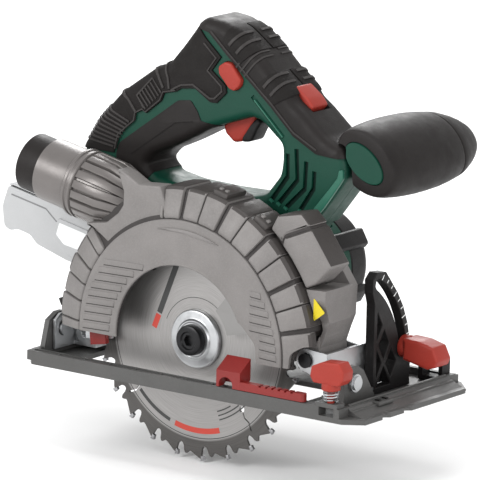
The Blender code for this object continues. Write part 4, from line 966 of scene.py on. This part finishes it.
piece("grip_end", knob_end, "saw_body", RUBBER_FINE, ["aux_handle_cap"])

# --- motor -------------------------------------------------
LAYSHAFT = axis_spot("layshaft_spin", "xz")
front_plate = slab("Y", hull((0, 0, 12.0), (*MOTOR, 33.0), (*LAYSHAFT, 12.0)), (34.3, 41.0), 0.6)
barrel = turned([(31.0, 41.6), (31.0, 78.0), (33.2, 78.0), (34.0, 77.2), (34.0, 34.9), (33.4, 34.3),
                 (30.0, 34.3),
                 (30.0, 40.9)], MOTOR, 4.0)
piece("motor_barrel", group(front_plate, barrel), "saw_body", GREEN, ["motor_housing"])
lugs = []
for claw in range(6):
    spread = [slab("Y", soften([(MOTOR[0] + 34.4, MOTOR[1] - 6.0), (MOTOR[0] + 37.2, MOTOR[1] - 4.6),
                                (MOTOR[0] + 37.2, MOTOR[1] + 4.6),
                                (MOTOR[0] + 34.4, MOTOR[1] + 6.0)], 0.8), (64.0, 94.0), 0.7),
              slab("Y", soften([(MOTOR[0] + 32.8, MOTOR[1] - 6.4), (MOTOR[0] + 36.6, MOTOR[1] - 5.0),
                                (MOTOR[0] + 36.6, MOTOR[1] + 5.0), (MOTOR[0] + 32.8, MOTOR[1] + 6.4)], 0.8),
                   (79.0, 94.6), 0.7)]
    lugs += [moved(shape, turn_about("Y", 30.0 + 60.0 * claw, (MOTOR[0], 0, MOTOR[1]))) for shape in spread]
dome = turned([(0.001, 98.0), (27.0, 98.0), (30.0, 97.0), (32.4, 94.9), (33.7, 92.6), (34.0, 90.6),
               (34.0, 78.9),
               (33.4, 78.3), (31.5, 78.3), (31.5, 91.0), (27.0, 95.5), (0.001, 95.5)], MOTOR, 4.0)
dome = cut(dome, *[moved(slab("Y", stroke([(MOTOR[0] + 10.0, MOTOR[1]), (MOTOR[0] + 25.0, MOTOR[1])], 2.6),
                              (94.0, 99.0)),
                         turn_about("Y", 45.0 * k, (MOTOR[0], 0, MOTOR[1]))) for k in range(8)])
piece("motor_dome", group(dome, *lugs), "saw_body", BLACK, ["motor_end_cover"])

# --- battery -----------------------------------------------
PACK_SLOPE = math.tan(PORT_TILT)


def pack_top(x):
    return 68.0 - PACK_SLOPE * (x + 167.0)


PACK_NEAR, PACK_FAR = node_box("battery_case")[0].y, node_box("battery_case")[1].y
SIDE = [(-160.0, pack_top(-160.0)), (-168.5, 65.0), (-173.0, 52.0), (-171.5, 39.5), (-166.5, 37.0),
        (-161.0, 38.8),
        (-150.8, 36.6), (-146.0, 31.6), (-122.5, 24.6), (-62.0, 14.6), (-57.6, 17.0),
        (-57.6, pack_top(-57.6))]
tray = cut(slab("Y", soften(SIDE, 2.5), (PACK_NEAR, PACK_FAR)),
           slab("Y", [(-180, pack_top(-180) - 3.0), (-50, pack_top(-50) - 3.0), (-50, 95), (-180, 115)],
                (20, 110)),
           box((-176.0, -166.0), (54.0, 72.0), (45.0, 58.0)))
tray = edged(tray, 1.7, 4, 50.0)
piece("pack_tray", tray, "battery", PACK, ["battery_case"])
lid = slab("Y", soften([(-161.5, pack_top(-161.5)), (-167.6, 66.6), (-168.4, pack_top(-168.4) - 2.7),
                        (-57.6, pack_top(-57.6) - 2.7), (-57.6, pack_top(-57.6))], 0.8),
           (PACK_NEAR, PACK_FAR), 1.0)
rails = [slab("Y", [(x, pack_top(x) + rise) for x, rise in ((-150, -0.3), (-60, -0.3), (-60, 2.4),
                                                            (-150, 2.4))],
              (middle - 3.0, middle + 3.0), 0.4) for middle in (38.0, 88.0)]
piece("pack_lid", group(lid, *rails), "battery", PACK, ["battery_lid"])
frame_line = [(-166.0, 60.0), (-139.0, 54.6), (-131.0, 48.0), (-62.0, 34.0)]
seam = stroke(frame_line, 1.0)
panel = soften([(-129.0, 50.4), (-60.5, 36.4), (-60.5, 18.6), (-123.0, 28.4), (-133.0, 38.0)], 2.0)
piece("pack_panel", slab("Y", panel, (PACK_NEAR - 1.0, PACK_NEAR + 1.0), 0.6), "battery", PACK)
piece("pack_seam", slab("Y", seam, (PACK_NEAR - 0.08, PACK_NEAR + 0.5)), "battery", PACK_DARK)
blank = soften([(-127.6, 47.6), (-62.0, 34.4), (-62.0, 24.0), (-124.0, 34.6), (-130.0, 40.0)], 1.0)
piece("pack_label", slab("Y", blank, (PACK_NEAR - 1.12, PACK_NEAR)), "battery", LABEL)

# --- shoe and its controls ---------------------------------
PLATE = SOLE + 3.0
cells = [box((x, x + 1.2), (-27.3, -23.5), (PLATE + 0.2, -19.0)) for x in np.arange(-86.0, 98.0, 19.0)]
piece("rail_cross_ribs", group(*cells), "base", SHOE)
lines = [slab("Y", [(125.5, PLATE - 0.2), (136.0, PLATE - 2.2), (136.0, PLATE - 0.95), (126.5, PLATE + 2.6),
                    (125.0, PLATE + 2.9)],
              (y, y + 0.9)) for y in np.arange(-17.0, 82.0, 3.0)]
piece("lip_ridges", group(*lines), "base", SHOE)
steps = [box((124.6, 127.4), (-20.0, 84.0), (PLATE + 1.8, PLATE + 3.4)),
         box((121.6, 123.4), (-18.0, 82.0), (-18.8, -17.6))]
piece("shelf_edges", edged(group(*steps), 0.4), "base", SHOE)
sight = edged(box((122.6, 129.6), (3.4, 18.6), (PLATE + 2.2, PLATE + 4.6)), 0.7)
slits = [box((124.4, 127.6), (6.4, 8.4), (PLATE + 4.4, PLATE + 5.4)),
         box((124.4, 127.6), (13.4, 15.4), (PLATE + 4.4, PLATE + 5.4))]
piece("sight_clip", sight, "base", SHOE)
piece("sight_marks", group(*slits), "base", BLACK)

clamp_head = slab("Y", soften([(106.0, -4.6), (103.6, -1.0), (104.6, 5.0), (112.0, 8.4), (124.0, 9.2),
                               (127.6, 4.0),
                               (127.2, -1.0), (124.0, -4.6)], 0.8), (-31.0, -20.6), 0.9)
CLAMP = axis_spot("guide_knob_turn", "xy")
clamp_stem = [rod("Z", CLAMP, 2.2, (-18.2, -6.0), 32), rod("Z", CLAMP, 5.6, (-8.4, -4.0), 40)]
piece("guide_clamp_head", group(clamp_head, *[edged(shape, 0.4) for shape in clamp_stem]), "guide_knob", RED,
      ["guide_clamp_knob"])
KNOB = axis_spot("bevel_knob_turn", "yz")
lever_head = slab("Y", soften([(110.5, -5.6), (110.5, 7.4), (122.0, 7.0), (132.0, 4.6), (135.8, -3.0),
                               (134.0, -7.2),
                               (128.0, -9.2)], 1.0), (KNOB[0] - 7.5, KNOB[0] + 7.5), 1.6)
hub = [rod("X", KNOB, 2.8, (97.0, 112.0), 32), edged(rod("X", KNOB, 7.0, (106.2, 112.0), 48), 0.8),
       edged(rod("X", KNOB, 4.6, (93.5, 96.4), 6), 0.5)]
piece("bevel_lock_head", group(lever_head, hub[1]), "bevel_knob", RED, ["bevel_lock_knob"])
piece("bevel_lock_screw", group(hub[0], hub[2]), "bevel_knob", ZINC)
BEVEL_AXIS = axis_spot("bevel_tilt", "yz")
SCALE_R, SCALE_ZERO = 69.6, 9.2
ticks = []
for angle in range(0, 50, 5):
    reach = 3.4 if angle % 15 == 0 else 2.2
    near_end, far_end = (polar(r, SCALE_ZERO + angle, BEVEL_AXIS) for r in (SCALE_R - reach, SCALE_R))
    ticks.append(slab("X", stroke([near_end, far_end], 0.55), (105.6, 105.95)))
piece("bevel_scale", group(*ticks), "base", LABEL)

sticker = slab("Y", soften([(89.6, 39.4), (97.8, 31.4), (89.6, 25.4)], 1.2), (-8.72, -8.4))
piece("plain_sticker", sticker, "saw_body", YELLOW)

# --- stage, camera and light -------------------------------
FLOOR_DROP = BLADE_R + 0.6
floor_mesh = bmesh.new()
bmesh.ops.create_grid(floor_mesh, x_segments=1, y_segments=1, size=6.0)
floor = from_bmesh(floor_mesh)
floor.name = "studio_floor"
floor.location = (0.0, 0.0, SPINDLE.z - 0.001 * FLOOR_DROP)
paper = Nodes("pale_paper")
paper.link(paper.blend(paper.spread(paper.noise(3.0), 0.0, 1.0), (0.86, 0.86, 0.86), (0.90, 0.90, 0.90)),
           paper.shader.inputs["Base Color"])
paper.shader.inputs["Roughness"].default_value = 0.9
floor.data.materials.append(paper.material)

AZIMUTH, ELEVATION, ROLL = (math.radians(v) for v in (36.0644, 12.215, 1.1773))
CAMERA_DISTANCE = 3.3333
CAMERA_ASIDE, CAMERA_RAISED = 0.02477, 0.05834
back = Vector((math.sin(AZIMUTH) * math.cos(ELEVATION), -math.cos(AZIMUTH) * math.cos(ELEVATION),
               math.sin(ELEVATION)))
right = Vector((math.cos(AZIMUTH), math.sin(AZIMUTH), 0.0))
up = back.cross(right)
side_axis = right * math.cos(ROLL) + up * math.sin(ROLL)
up_axis = up * math.cos(ROLL) - right * math.sin(ROLL)
lens = bpy.data.cameras.new("photo_camera")
lens.lens = 419.7
lens.sensor_width = 36.0
lens.clip_start, lens.clip_end = 0.1, 20.0
camera = bpy.data.objects.new("photo_camera", lens)
bpy.context.scene.collection.objects.link(camera)
place = SPINDLE + back * CAMERA_DISTANCE + side_axis * CAMERA_ASIDE + up_axis * CAMERA_RAISED
camera.matrix_world = Matrix(((side_axis.x, up_axis.x, back.x, place.x),
                              (side_axis.y, up_axis.y, back.y, place.y),
                              (side_axis.z, up_axis.z, back.z, place.z), (0, 0, 0, 1)))
bpy.context.scene.camera = camera


def area_light(name, place, size, power, aim=(0.0, 0.0, 0.05)):
    data = bpy.data.lights.new(name, "AREA")
    data.shape = "DISK"
    data.size = size
    data.energy = power
    lamp = bpy.data.objects.new(name, data)
    lamp.location = place
    lamp.rotation_euler = (Vector(aim) - Vector(place)).to_track_quat("-Z", "Y").to_euler()
    bpy.context.scene.collection.objects.link(lamp)


area_light("key", (-0.7, -1.6, 0.9), 0.8, 21.0)
area_light("fill", (1.7, -0.9, 0.5), 1.0, 11.0)
area_light("rim", (-0.9, 1.4, 1.1), 0.8, 16.0)
area_light("top", (0.2, 0.1, 1.9), 1.0, 10.0)
world = bpy.data.worlds.new("studio")
world.use_nodes = True
world.node_tree.nodes["Background"].inputs["Color"].default_value = (1.0, 1.0, 1.0, 1.0)
world.node_tree.nodes["Background"].inputs["Strength"].default_value = 0.85
bpy.context.scene.world = world
bpy.context.scene.view_settings.view_transform = "Standard"
